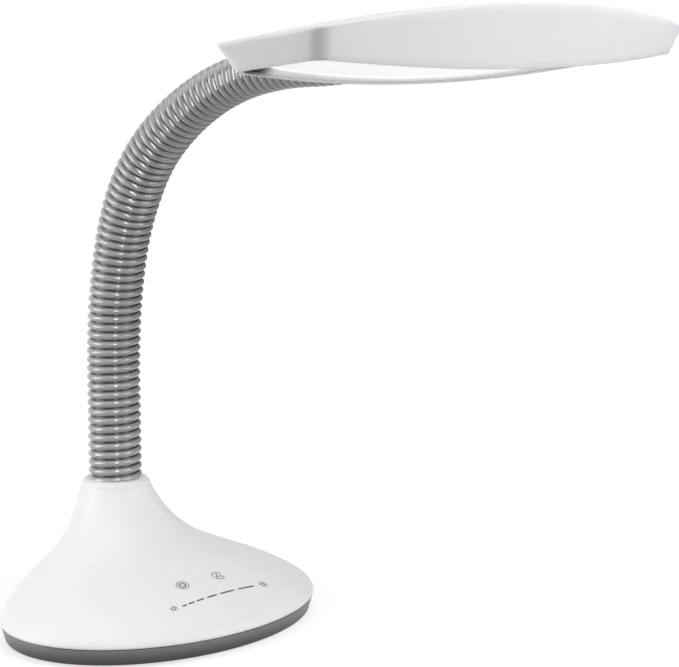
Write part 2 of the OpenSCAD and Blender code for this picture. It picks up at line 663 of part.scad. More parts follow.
// Flat-bottomed slice inside the head between two heights above its lower edge
function slice_v(s, h) = h / (top_z(s) - low_z(s));
function slice_point(s, side, h, end, long) = [
    head_x(s, slice_v(s, h), end), side * head_y(s, slice_v(s, h), long), low_z(s) + h];
function slice_section(s, from, to, end, long) = [
    slice_point(s, 1, from, end, long), slice_point(s, 1, to, end, long),
    slice_point(s, -1, to, end, long), slice_point(s, -1, from, end, long)];
module head_slice(from, to, end, long)
    skin([for (s = head_stations) slice_section(s, from, to, end, long)]);

// Posts under the head's top: four for the light board and two for the clamp
light_top = -light_drop + board_t + spreader_t;
clamp_top = clamp_h / 2 - head_drop;
light_spots = [for (x = [-1, 1], y = [-1, 1]) [x * light_l * 0.36, y * (light_w / 2 - 1.6 * head_post_r)]];
clamp_y = head_reach - neck_tail + clamp_l / 2 + 1;
clamp_spots = [for (x = [-1, 1]) [x * (clamp_w / 2 - 1.6 * head_post_r), clamp_y]];
module head_posts() {
    for (spot = light_spots) translate([spot.x, spot.y, light_top]) cylinder(r = head_post_r, h = head_t);
    for (spot = clamp_spots) translate([spot.x, spot.y, clamp_top]) cylinder(r = head_post_r, h = head_t);
}

module head_cover() color(silver) at_head() difference() {
    skin([for (s = head_stations) cover_section(s, 0, 0)]);
    difference() {
        skin([for (s = head_stations) cover_section(s, head_wall, past)]);
        head_posts();
    }
    translate([0, head_reach + 2 * head_wall, -head_drop]) rotate([90, 0, 0])
        cylinder(r = collar_r + touch, h = neck_tail + 2 * head_wall);
    for (spot = light_spots) translate([spot.x, spot.y, light_top - past])
        cylinder(r = small_r + pin_gap, h = light_screw_l - light_drop - small_r - light_top + 2 * past);
    for (spot = clamp_spots) translate([spot.x, spot.y, clamp_top - past])
        cylinder(r = small_r + pin_gap, h = clamp_sunk + 2 * past);
}

module head_bezel() color(dark) at_head() difference() {
    head_slice(bezel_sunk, bezel_sunk + bezel_t, head_wall + bezel_gap, head_wall + bezel_gap);
    head_slice(bezel_sunk - past, bezel_sunk + bezel_t + past, bezel_end, head_wall + bezel_side);
}
module diffuser() color(glow) at_head()
    head_slice(bezel_sunk + bezel_t + touch, bezel_sunk + bezel_t + touch + diffuser_t,
        bezel_end - diffuser_lap, head_wall + bezel_side - diffuser_lap);

module light_plate(z, t) translate([0, 0, z]) difference() {
    block([light_l, light_w, t]);
    for (spot = light_spots) translate([spot.x, spot.y, -past])
        cylinder(r = small_r + touch, h = t + 2 * past);
}
module light_board() color(white) at_head() light_plate(-light_drop, board_t);
module heat_spreader() color(steel) at_head() light_plate(-light_drop + board_t, spreader_t);
module leds() color(glow) at_head() for (i = [0:led_count - 1], y = [-1, 1])
    translate([(i + 0.5 - led_count / 2) * light_l / led_count, y * led_gap / 2, -light_drop - led_h])
        block([led_l, led_w, led_h]);
module light_screws() color(steel) at_head() for (spot = light_spots)
    translate([spot.x, spot.y, -light_drop - small_r]) screw(small_r, light_screw_l);
module clamp_screws() color(steel) at_head() for (spot = clamp_spots)
    translate([spot.x, spot.y, clamp_top - clamp_h + clamp_sunk]) screw(small_r, clamp_h);

module neck_collar() color(grey) at_head() translate([0, head_reach - touch, -head_drop]) rotate([90, 0, 0])
    hollow_rod(collar_r, link_r(links - 1) + touch, neck_tail - clamp_l - 2);
module neck_clamp() color(dark) at_head() difference() {
    translate([0, clamp_y, clamp_top - clamp_h]) block([clamp_w, clamp_l, clamp_h]);
    translate([0, clamp_y, -head_drop]) rotate([90, 0, 0])
        cylinder(r = link_r(links - 1) + pin_gap, h = 2 * clamp_l, center = true);
    for (spot = clamp_spots) translate([spot.x, spot.y, clamp_top - clamp_h]) {
        cylinder(r = small_r + pin_gap, h = clamp_h + past);
        translate([0, 0, -past]) cylinder(r = 2 * small_r + touch, h = clamp_sunk + small_r + past);
    }
}

base_cover();
base_tray();
foot_ring();
tray_screws();
ballast();
board_spacers();
driver_board();
touch_board();
usb_socket();
dc_inlet();
neck_anchor();
neck_washer();
neck_nut();
neck_link(1);  // neck_link_1
neck_link(2);  // neck_link_2
neck_link(3);  // neck_link_3
neck_link(4);  // neck_link_4
neck_link(5);  // neck_link_5
neck_link(6);  // neck_link_6
neck_link(7);  // neck_link_7
neck_link(8);  // neck_link_8
neck_tip();
neck_sleeve();
lamp_lead();
neck_collar();
neck_clamp();
clamp_screws();
head_cover();
head_bezel();
diffuser();
light_board();
heat_spreader();
leds();
light_screws();
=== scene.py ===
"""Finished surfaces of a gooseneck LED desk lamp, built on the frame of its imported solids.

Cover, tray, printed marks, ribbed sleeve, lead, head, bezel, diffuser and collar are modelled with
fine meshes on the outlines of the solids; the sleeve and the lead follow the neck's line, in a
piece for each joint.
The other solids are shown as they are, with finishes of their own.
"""

import json
import math

import bmesh
import bpy
import numpy as np
from mathutils import Matrix, Vector


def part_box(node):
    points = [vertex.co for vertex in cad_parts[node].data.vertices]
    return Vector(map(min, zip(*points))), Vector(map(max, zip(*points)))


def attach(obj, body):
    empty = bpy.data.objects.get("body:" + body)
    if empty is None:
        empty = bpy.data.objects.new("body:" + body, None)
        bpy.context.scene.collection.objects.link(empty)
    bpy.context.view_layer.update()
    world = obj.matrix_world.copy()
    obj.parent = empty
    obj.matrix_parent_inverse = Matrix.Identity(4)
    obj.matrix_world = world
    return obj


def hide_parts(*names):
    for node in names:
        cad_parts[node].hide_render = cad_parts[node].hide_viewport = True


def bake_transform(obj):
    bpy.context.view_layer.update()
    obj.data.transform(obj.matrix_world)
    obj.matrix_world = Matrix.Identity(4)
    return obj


bl_info = {
    "name": "Gooseneck Desk Lamp Surfaces",
    "version": (1, 0, 0),
    "blender": (4, 5, 0),
    "location": "View3D > Sidebar > Desk Lamp",
    "description": "Builds the finished surfaces of a gooseneck desk lamp on its solids",
    "category": "Object",
}

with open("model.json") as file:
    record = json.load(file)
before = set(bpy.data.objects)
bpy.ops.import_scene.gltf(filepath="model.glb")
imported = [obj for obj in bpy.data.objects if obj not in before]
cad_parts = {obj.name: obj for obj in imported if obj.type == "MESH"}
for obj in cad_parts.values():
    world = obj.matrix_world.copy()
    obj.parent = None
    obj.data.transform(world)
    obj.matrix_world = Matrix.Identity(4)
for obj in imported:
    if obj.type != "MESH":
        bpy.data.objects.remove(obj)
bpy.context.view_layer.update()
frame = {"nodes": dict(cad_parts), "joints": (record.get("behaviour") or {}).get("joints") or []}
MM = 0.001

# Points nearer than this, in metres, are one; edges over this angle, in degrees, stay sharp
NEAR, SHARP = 1e-6, 35.0
# Points of rings round the base, the neck's end and a screw, and clearance between pieces
OVAL_POINTS, COLLAR_POINTS, SCREW_POINTS = 192, 64, 32
FIT = 0.1 * MM


def to_linear(code):
    """Linear red, green, blue and alpha of an sRGB hex colour, by the sRGB curve."""
    channels = [int(code[i : i + 2], 16) / 255 for i in (1, 3, 5)]
    linear = [c / 12.92 if c <= 0.04045 else ((c + 0.055) / 1.055) ** 2.4 for c in channels]
    return (*linear, 1.0)


def length(name, description, mm):
    """A size property, given in millimetres."""
    return bpy.props.FloatProperty(
        name=name, description=description, default=mm * MM, min=0.0, unit="LENGTH", precision=4
    )


def colour(name, description, code):
    """A colour property, given as an sRGB hex value."""
    return bpy.props.FloatVectorProperty(
        name=name, description=description, default=to_linear(code), size=4, subtype="COLOR",
        min=0.0, max=1.0,
    )


def extent(node, axis):
    """Extent of a solid along an axis, in millimetres."""
    low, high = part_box(node)
    return (high[axis] - low[axis]) / MM


class LampBaseSizes(bpy.types.PropertyGroup):
    """Sizes of the oval base"""

    width: length("Width", "Width of the base at the seam", extent("base_cover", 0))
    depth: length("Depth", "Depth of the base at the seam", extent("base_cover", 1))
    seam: length("Seam", "Height of the seam above the table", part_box("base_cover")[0].z / MM)
    gap: length("Seam gap", "Width of the dark groove at the seam", 0.5)
    top: length("Neck seat", "Height of the neck's seat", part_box("base_cover")[1].z / MM)
    shoulder: length("Shoulder", "Radius of the cover just under the neck's seat", 19.7)
    shoulder_round: length("Shoulder rounding", "Rounding of the seat's edge", 3.7)
    bore: length("Bore", "Radius of the hole for the neck's spigot", 8.1)
    side: length("Side height", "Height of the cover's upright side", 13.4)
    slope: length("Slope height", "Rise of the slope to the foot of the flare", 23.4)
    side_power: bpy.props.FloatProperty(
        name="Side power", description="Power of the rounding from side to slope", default=4.0
    )
    flare_power: bpy.props.FloatProperty(
        name="Flare power", description="Power of the flare up to the neck", default=6.0
    )
    wall: length("Wall", "Wall of cover and tray", 2.4)
    lip: length("Lip", "Height of the tray's inner lip above the seam", 1.5)
    lip_gap: length("Lip gap", "Distance of the tray's inner lip inside the cover's wall", 2.4)
    lip_wall: length("Lip wall", "Thickness of the tray's inner lip", 1.2)
    taper: length("Tray taper", "How far the tray draws in towards its foot", 2.6)
    tray_round: length("Tray rounding", "Rounding of the tray's lower edge", 1.2)
    lift: length("Tray lift", "Height of the tray's underside above the table", 1.0)
    foot: length("Foot width", "Width of the groove for the rubber ring", 6.2)
    foot_inset: length("Foot inset", "Distance of the rubber ring inside the lower edge", 2.9)
    screw: length("Screw radius", "Radius of the tray's screws", 1.5)
    post: length("Post radius", "Radius of the posts that the tray's screws go through", 4.5)
    socket_turn: bpy.props.FloatProperty(
        name="Socket turn", description="Direction that the charging socket faces",
        default=math.radians(132.0), subtype="ANGLE",
    )


class LampNeckSizes(bpy.types.PropertyGroup):
    """Sizes of the ribbed neck"""

    crest: length("Crest radius", "Radius over the rib's crests at the base", 15.2)
    crest_tip: length("Tip radius", "Radius over the rib's crests at the head", 9.2)
    straight: length("Straight length", "Length that keeps its full radius", 166.0)
    groove: length("Groove", "Depth of the groove between two turns", 1.9)
    wall: length("Wall", "Wall from the crests to the bore", 2.7)
    lead: length("Lead radius", "Radius of the lead inside the neck", 1.5)
    turns: bpy.props.IntProperty(
        name="Turns", description="Turns of the rib, a right-handed helix", default=78, min=10
    )
    tip_lean: bpy.props.FloatProperty(
        name="Tip lean", description="Lean of the last link from upright",
        default=math.radians(83.0), subtype="ANGLE",
    )


class LampHeadSizes(bpy.types.PropertyGroup):
    """Sizes of the lens-shaped head"""

    long: length("Length", "Length over the top edge", extent("head_cover", 0))
    low_long: length("Lower length", "Length over the bottom edge", 266.6)
    deep: length("End depth", "Depth of the ends over the top edge", 63.5)
    low_deep: length("Lower end depth", "Depth of the ends over the bottom edge", 51.7)
    bulge: length("Bulge", "Bulge of the top edges at the middle", 15.0)
    low_bulge: length("Lower bulge", "Bulge of the bottom edges at the middle", 8.8)
    thick: length("End thickness", "Thickness of the ends", 13.1)
    arch: length("Arch", "Rise of the top edge at the middle", 8.7)
    bow: length("Bow", "Drop of the bottom edge at the middle", 6.8)
    crown: length("Crown", "Crown of the top at the middle", 2.6)
    corner: length("Corner radius", "Radius of the upright corners", 7.0)
    edge: length("Edge rounding", "Rounding along the top edge", 1.2)
    wall: length("Wall", "Wall of the head's cover", 2.0)
    reach: length("Reach", "Distance from the neck's end to the middle of the head", 45.3)
    drop: length("Neck drop", "Distance of the neck's axis below the top corners", 5.6)
    sunk: length("Bezel depth", "Depth of the bezel inside the lower edge", 1.4)
    bezel: length("Bezel thickness", "Thickness of the bezel", 1.8)
    bezel_gap: length("Bezel gap", "Gap between bezel and cover", 0.3)
    bezel_side: length("Bezel side", "Distance of the opening inside front and back", 3.6)
    bezel_end: length("Bezel end", "Distance of the opening inside the ends", 15.0)
    panel: length("Diffuser thickness", "Thickness of the diffuser", 2.0)
    panel_lap: length("Diffuser lap", "Overlap of diffuser and bezel", 1.2)
    collar: length("Collar radius", "Radius of the collar at the neck", 11.5)
    collar_bore: length("Collar bore", "Radius of the collar's bore", 4.6)
    collar_long: length("Collar length", "Length of the collar", 9.8)


class LampColours(bpy.types.PropertyGroup):
    """Colours of the finishes in view"""

    cover: colour("Cover", "White of the base cover", "#F3F3F4")
    tray: colour("Tray", "Grey of the tray's band at the seam", "#7E7E82")
    # Painted shade: the dark grey that the tray's band is shaded to at its lower edge
    tray_foot_painted_shade: colour("Tray foot", "Grey of the tray's band at its lower edge", "#3E3E40")
    sleeve: colour("Sleeve", "Grey of the ribbed sleeve", "#A6A6AA")
    # Painted shade: the dark laid into the troughs between the sleeve's ribs
    trough_painted_shade: colour("Trough", "Dark of the troughs between the sleeve's ribs", "#171718")
    head: colour("Head", "Silver-white of the head", "#EDEDF0")
    collar: colour("Collar", "Dark grey of the collar at the neck", "#6B6B6F")
    bezel: colour("Bezel", "Dark grey of the bezel's ends", "#48484B")
    diffuser: colour("Diffuser", "White of the diffuser", "#FBFBF9")
    ink: colour("Print", "Grey of the printed marks", "#4A4B50")
    floor: colour("Floor", "Pale floor", "#B0B0B0")


# Sockets of a Mix node for colours: factor, both colours and the result
FACTOR, FIRST, SECOND, MIXED = 0, 6, 7, 2
# Grain: range of its noise, swing in roughness, and relief as a share of its width. Grain under
# 0.1 mm on the real finish is drawn coarser, so that it shows.
GRAIN_RANGE, GRAIN_SWING, GRAIN_RELIEF = (0.3, 0.7), 0.05, 0.1


def add_node(tree, kind, links=None, **settings):
    """Adds a shader node with its settings; links maps an input to a socket or a value."""
    made = tree.nodes.new(kind)
    for name, value in settings.items():
        setattr(made, name, value)
    for key, value in (links or {}).items():
        if isinstance(value, bpy.types.NodeSocket):
            tree.links.new(value, made.inputs[key])
        else:
            made.inputs[key].default_value = value
    return made


def blank_tree(owner):
    """Empty node tree of a material or a world."""
    owner.use_nodes = True
    owner.node_tree.nodes.clear()
    return owner.node_tree


def surface(name, tone, rough, grain, bump=0.1, drift=0.04, stretch=(1, 1, 1), **shader):
    """Procedural finish: a grain, sized in mm and stretched, moves its tone, gloss and relief."""
    made = bpy.data.materials.new(name)
    tree = blank_tree(made)
    place = add_node(tree, "ShaderNodeTexCoord").outputs["Object"]
    spread = add_node(tree, "ShaderNodeMapping", {"Vector": place, "Scale": stretch}).outputs[0]
    fine = add_node(
        tree, "ShaderNodeTexNoise", {"Vector": spread, "Scale": 1 / (grain * MM), "Detail": 3.0}
    ).outputs[0]
    darker = [c * (1 - drift) for c in tone[:3]] + [1.0]
    shade = add_node(
        tree, "ShaderNodeMix", {FACTOR: fine, FIRST: tone, SECOND: darker}, data_type="RGBA"
    ).outputs[MIXED]
    low, high = GRAIN_RANGE
    gloss = add_node(
        tree, "ShaderNodeMapRange",
        {"Value": fine, "From Min": low, "From Max": high,
         "To Min": rough - GRAIN_SWING, "To Max": rough + GRAIN_SWING},
    ).outputs[0]
    relief = add_node(
        tree, "ShaderNodeBump",
        {"Height": fine, "Strength": bump, "Distance": GRAIN_RELIEF * grain * MM},
    ).outputs[0]
    skin = add_node(
        tree, "ShaderNodeBsdfPrincipled",
        {"Base Color": shade, "Roughness": gloss, "Normal": relief, **shader},
    )
    add_node(tree, "ShaderNodeOutputMaterial", {"Surface": skin.outputs[0]})
    return made, tree, skin


def along(tree, axis, start, end, first, last):
    """Value that runs from first to last between two distances from the origin along an axis."""
    place = add_node(tree, "ShaderNodeTexCoord").outputs["Object"]
    reach = add_node(tree, "ShaderNodeSeparateXYZ", {"Vector": place}).outputs[axis]
    away = add_node(tree, "ShaderNodeMath", {0: reach}, operation="ABSOLUTE").outputs[0]
    return add_node(
        tree, "ShaderNodeMapRange",
        {"Value": away, "From Min": start, "From Max": end, "To Min": first, "To Max": last},
        interpolation_type="SMOOTHSTEP",
    ).outputs[0]


def tint(tree, skin, amount, tone):
    """Mixes a second tone into a finish by an amount from 0 to 1."""
    shade = skin.inputs["Base Color"].links[0].from_socket
    mixed = add_node(
        tree, "ShaderNodeMix", {FACTOR: amount, FIRST: shade, SECOND: tone}, data_type="RGBA"
    ).outputs[MIXED]
    tree.links.new(mixed, skin.inputs["Base Color"])


def light_up(tree, skin, tone, level):
    """Gives a finish a glow of a tone, at a level that changes over it."""
    skin.inputs["Emission Color"].default_value = tone
    tree.links.new(level, skin.inputs["Emission Strength"])


def show(made):
    """Puts an object in the scene."""
    bpy.context.scene.collection.objects.link(made)
    return made


def quarter(count):
    """Angles of a quarter turn."""
    return np.linspace(0, math.pi / 2, count)


def rounding(radius, count):
    """Distances of the rings of a rounded edge from its two faces."""
    return [(radius * (1 - math.cos(t)), radius * (1 - math.sin(t))) for t in quarter(count)]


def circle(count, shift=0.0):
    """Cosines and sines of the angles of a ring, which starts a share of a step off."""
    angles = (np.arange(count) + shift) * 2 * math.pi / count
    return np.cos(angles), np.sin(angles)


def skin_rings(rings, loop=False, caps=False):
    """Points and faces of a skin over rings of equal count; caps close both ends with fans."""
    rings = np.asarray(rings, float)
    count, around = rings.shape[:2]
    index = np.arange(count * around).reshape(count, around)
    after = np.roll(index, -1, axis=1)
    rows = np.arange(count if loop else count - 1)
    nexts = (rows + 1) % count
    quads = np.stack([index[rows], after[rows], after[nexts], index[nexts]], axis=-1)
    faces = quads.reshape(-1, 4).tolist()
    points = rings.reshape(-1, 3)
    if caps:
        for row in (0, count - 1):
            faces += [[len(points), a, b] for a, b in zip(index[row], after[row])]
            points = np.vstack([points, rings[row].mean(0)])
    return points, faces


def join(parts):
    """Points and faces of several skins as one."""
    points, faces, start = [], [], 0
    for part_points, part_faces in parts:
        points.append(part_points)
        faces += [[start + i for i in face] for face in part_faces]
        start += len(part_points)
    return np.vstack(points), faces


def clean(mesh):
    """Merges doubled points, removes faces without area and turns all faces outwards."""
    shape = bmesh.new()
    shape.from_mesh(mesh)
    bmesh.ops.remove_doubles(shape, verts=shape.verts, dist=NEAR)
    bmesh.ops.dissolve_degenerate(shape, edges=shape.edges, dist=NEAR)
    bmesh.ops.recalc_face_normals(shape, faces=shape.faces)
    shape.to_mesh(mesh)
    shape.free()


def smooth(made):
    """Shades an object smooth, but for its sharp edges."""
    made.data.shade_smooth()
    made.data.set_sharp_from_angle(angle=math.radians(SHARP))


def piece(name, skin, material, body=None, nodes=()):
    """Closed mesh object that rides on a body, replaces nodes and has a material slot."""
    mesh = bpy.data.meshes.new(name)
    mesh.from_pydata(np.asarray(skin[0], float).tolist(), [], skin[1])
    clean(mesh)
    mesh.materials.append(material)
    made = show(bpy.data.objects.new(name, mesh))
    smooth(made)
    if body:
        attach(made, body)
    if nodes:
        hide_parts(*nodes)
    return made


def cut(made, cutters):
    """Cuts closed cutters out of a piece and removes them."""
    for cutter in cutters:
        tool = made.modifiers.new("cut", "BOOLEAN")
        tool.operation = "DIFFERENCE"
        tool.solver = "EXACT"
        tool.object = cutter
    bpy.context.view_layer.update()
    graph = bpy.context.evaluated_depsgraph_get()
    done = bpy.data.meshes.new_from_object(made.evaluated_get(graph))
    clean(done)
    made.modifiers.clear()
    made.data = done
    smooth(made)
    for cutter in cutters:
        bpy.data.objects.remove(cutter)


def oval(a, b, z, centre=0.0):
    """Oval ring at a height, with its middle at y = centre."""
    c, s = circle(OVAL_POINTS)
    return np.stack([a * c, centre + b * s, np.full(OVAL_POINTS, z)], axis=1)


# Cover: rounding of its lower edge, start of the side's rings over it, rings outside, end and step
# of the rings inside, and steps that find a height
RIM = 0.6 * MM
RIM_CLEAR = 1.2 * RIM
COVER_RINGS, INNER_END, INNER_STEP = 73, 11, 4
HALVINGS = 40
# Cutters of the sockets: how far they reach out, and their size against the socket
CUT_REACH, CUT_ROOM = 20 * MM, 1.02


class CoverShape:
    """Outside of the base cover: ovals that shrink from the rim, u = 1, to the neck, u = 0."""

    def __init__(self, sizes):
        self.sizes = sizes
        self.a, self.b = sizes.width / 2, sizes.depth / 2
        self.back = sum(corner.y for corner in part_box("neck_washer")) / 2
        self.flare = sizes.top - sizes.shoulder_round - sizes.seam - sizes.side - sizes.slope

    def height(self, u):
        """Height of the outside at u."""
        s = self.sizes
        rise = np.sqrt(np.maximum(0, 1 - u**s.side_power)) * (s.side + s.slope * (1 - u))
        return s.seam + rise + self.flare * (1 - u) ** s.flare_power

    def axes(self, u, inset=0.0):
        """Half width and half depth of the oval at u."""
        r = self.sizes.shoulder
        return r + (self.a - r) * u - inset, r + (self.b - r) * u - inset

    def ring(self, u, z, inset=0.0):
        """Oval at u, put at a height."""
        return oval(*self.axes(u, inset), z, self.back * (1 - u))

    def above(self, x, y):
        """Height of the outside over points of the plan, found by halving u."""
        low, high = np.zeros_like(x), np.ones_like(x)
        for _ in range(HALVINGS):
            u = (low + high) / 2
            a, b = self.axes(u)
            outside = (x / a) ** 2 + ((y - self.back * (1 - u)) / b) ** 2 > 1
            low, high = np.where(outside, u, low), np.where(outside, high, u)
        return self.height(u)


def socket_cutter(node, turn):
    """Hull of a socket's solid, drawn out through the cover's wall in the direction it faces."""
    shape = bmesh.new()
    points = [v.co.copy() for v in frame["nodes"][node].data.vertices]
    middle = sum(points, Vector()) / len(points)
    outwards = Vector((math.cos(turn), math.sin(turn), 0)) * CUT_REACH
    for point in points:
        grown = middle + (point - middle) * CUT_ROOM
        shape.verts.new(grown)
        shape.verts.new(grown + outwards)
    bmesh.ops.convex_hull(shape, input=shape.verts)
    bmesh.ops.delete(shape, geom=[v for v in shape.verts if not v.link_faces], context="VERTS")
    mesh = bpy.data.meshes.new("cutter")
    shape.to_mesh(mesh)
    shape.free()
    return show(bpy.data.objects.new("cutter", mesh))


class LAMP_OT_cover(bpy.types.Operator):
    """Base cover with a rounded lower edge and the openings of its sockets"""

    bl_idname = "lamp.cover"
    bl_label = "Base cover"

    def execute(self, context):
        s = context.scene.lamp_base
        shape = CoverShape(s)
        us = (1 + np.cos(np.linspace(0, math.pi, COVER_RINGS))) / 2
        heights = shape.height(us)
        rings = [shape.ring(1, s.seam, s.wall)]
        rings += [shape.ring(1, s.seam + rise, inset) for rise, inset in rounding(RIM, 5)]
        rings += [shape.ring(u, z) for u, z in zip(us, heights) if z > s.seam + RIM_CLEAR]
        for inset, drop in rounding(s.shoulder_round, 9)[1:]:
            rings.append(shape.ring(0, s.top - drop, inset))
        for z in (s.top, s.top - s.shoulder_round - s.wall):
            rings.append(shape.ring(0, z, s.shoulder - s.bore))
        for u in us[:INNER_END:-INNER_STEP]:
            rings.append(shape.ring(u, shape.height(u) - s.wall, s.wall))
        # Satin white ABS: an even, soft-lit white with a broad, blurred highlight
        white = surface(
            "Moulded ABS, satin white", context.scene.lamp_colours.cover, 0.45, 0.9,
            bump=0.03, drift=0.02, **{"Specular IOR Level": 0.3},
        )[0]
        made = piece(
            "base_shell", skin_rings(rings, loop=True), white, "base", ["base_cover"]
        )
        facing = {"usb_socket": s.socket_turn, "dc_inlet": math.pi / 2}
        cut(made, [socket_cutter(node, turn) for node, turn in facing.items()])
        return {"FINISHED"}


# Tray: rounding of its upper edge, height of the painted shade's darkest band against its lift,
# a screw's hole against the screw, room round a screw's head, and distance within which points
# are one screw's
TRAY_EDGE, TRAY_PAINTED_SHADE = 0.4 * MM, 1.5
SCREW_HOLE, POST_ROOM, SCREW_SPREAD = 1.1, 0.3 * MM, 12 * MM


def screw_spots():
    """Plan positions of the tray's screws, from the separate islands of their solid."""
    spots = []
    for vertex in frame["nodes"]["tray_screws"].data.vertices:
        point = np.array(vertex.co)[:2]
        near = [spot for spot in spots if np.hypot(*(point - spot[0])) < SCREW_SPREAD]
        if near:
            near[0].append(point)
        else:
            spots.append([point])
    return [(np.min(spot, 0) + np.max(spot, 0)) / 2 for spot in spots]


class LAMP_OT_tray(bpy.types.Operator):
    """Grey tray: the band under the cover, with the rubber ring's groove and the screws' posts"""

    bl_idname = "lamp.tray"
    bl_label = "Base tray"

    def execute(self, context):
        s, colours = context.scene.lamp_base, context.scene.lamp_colours
        foot = s.taper + s.tray_round + s.foot_inset
        floor, top = s.lift + s.wall, s.seam - s.gap
        lip, lip_top = s.wall + s.lip_gap, s.seam + s.lip
        inside = lip + s.lip_wall
        groove, sunk = foot + s.foot, 2 * s.lift
        profile = [(groove, s.lift), (groove, sunk), (foot, sunk), (foot, s.lift)]
        for rise, inset in rounding(s.tray_round, 6):
            profile.append((s.taper + inset, s.lift + rise))
        profile += [(s.gap + inset, top - drop) for inset, drop in rounding(TRAY_EDGE, 4)]
        profile += [(lip, top), (lip, lip_top), (inside, lip_top), (inside, floor)]
        rings = [oval(s.width / 2 - inset, s.depth / 2 - inset, z) for inset, z in profile]
        # Satin grey ABS: a mid grey, with painted shade that darkens it towards its lower edge
        grey, tree, skin = surface("Moulded ABS, satin grey", colours.tray, 0.4, 0.7, bump=0.05)
        low = along(tree, "Z", TRAY_PAINTED_SHADE * s.lift, s.seam, 1.0, 0.0)
        tint(tree, skin, low, colours.tray_foot_painted_shade)
        made = piece(
            "base_band", skin_rings(rings, caps=True), grey, "base", ["base_tray"]
        )
        head, hole, half = 2 * s.screw + FIT, SCREW_HOLE * s.screw, s.lift + s.wall / 2
        room = head + POST_ROOM
        well = [(head, 0), (head, 2 * s.seam)]
        post = [(room, half), (s.post, half), (s.post, s.seam),
                (hole, s.seam), (hole, floor), (room, floor)]

        def turned(x, y, profile):
            """Rings round an upright axis; no point lies on the lines of the tray's fans."""
            c, n = circle(SCREW_POINTS, 0.5)
            level = np.ones(SCREW_POINTS)
            return [np.column_stack([x + r * c, y + r * n, z * level]) for r, z in profile]

        wells, posts = [], []
        for x, y in screw_spots():
            wells.append(piece("cutter", skin_rings(turned(x, y, well), caps=True), grey))
            posts.append(skin_rings(turned(x, y, post), loop=True))
        cut(made, wells)
        piece("tray_posts", join(posts), grey, "base", ["base_tray"])
        return {"FINISHED"}


# Printed marks, in mm over the plan. Round marks are drawn a little flat.
FLAT = 0.83
POWER, MODE, DIM, BRIGHT = (-18.5, -37.0), (7.3, -38.3), (-36.3, -49.0), (29.3, -51.5)
# Radius and line of the outer rings; start and sweep in degrees of the mode mark's open ring
RING = (3.6, 0.4)
MODE_SWEEP = (20, 320)
# Power sign: radius, line, start and sweep of its arc, and points and line of its bar
POWER_ARC = (1.9, 0.75, 115, 310)
POWER_BAR, BAR_LINE = (0.6, 1.6, 2.4), 0.7
# Mode mark: places and radius of its dots, and angle at which a dot's strip starts
MODE_DOTS, DOT, DOT_START = ((-1.3, -0.9), (1.3, -0.9), (0, 1.3)), 0.8, 0.15
# Suns: radius and line of both, share of the disc, number of rays and shares along a ray
DIM_SUN, BRIGHT_SUN = (2.3, 0.4), (2.9, 0.5)
SUN_DISC, SUN_RAYS, SUN_RAY = 0.45, 8, (0.68, 0.84, 1.0)
# Slider: points of its curve, ends and line of its dashes, least width and power of their ends
SLIDER = [(-31.0, -50.2), (-21.2, -50.5), (-6.5, -51.5), (6.7, -51.8), (21.8, -51.8)]
DASHES = [(-31.0, -28.1), (-26.8, -22.6), (-21.2, -15.8), (-13.9, -6.5), (-4.5, 6.7), (9.1, 21.8)]
DASH_LINE, DASH_END, DASH_POWER = 0.9, 0.05, 8
# Upper and lower face of the ink over the cover, and points along an arc, a dot and a dash
INK_TOP, INK_FOOT = 0.1, -0.15
ARC_POINTS, DOT_POINTS, DASH_POINTS = 49, 11, 13


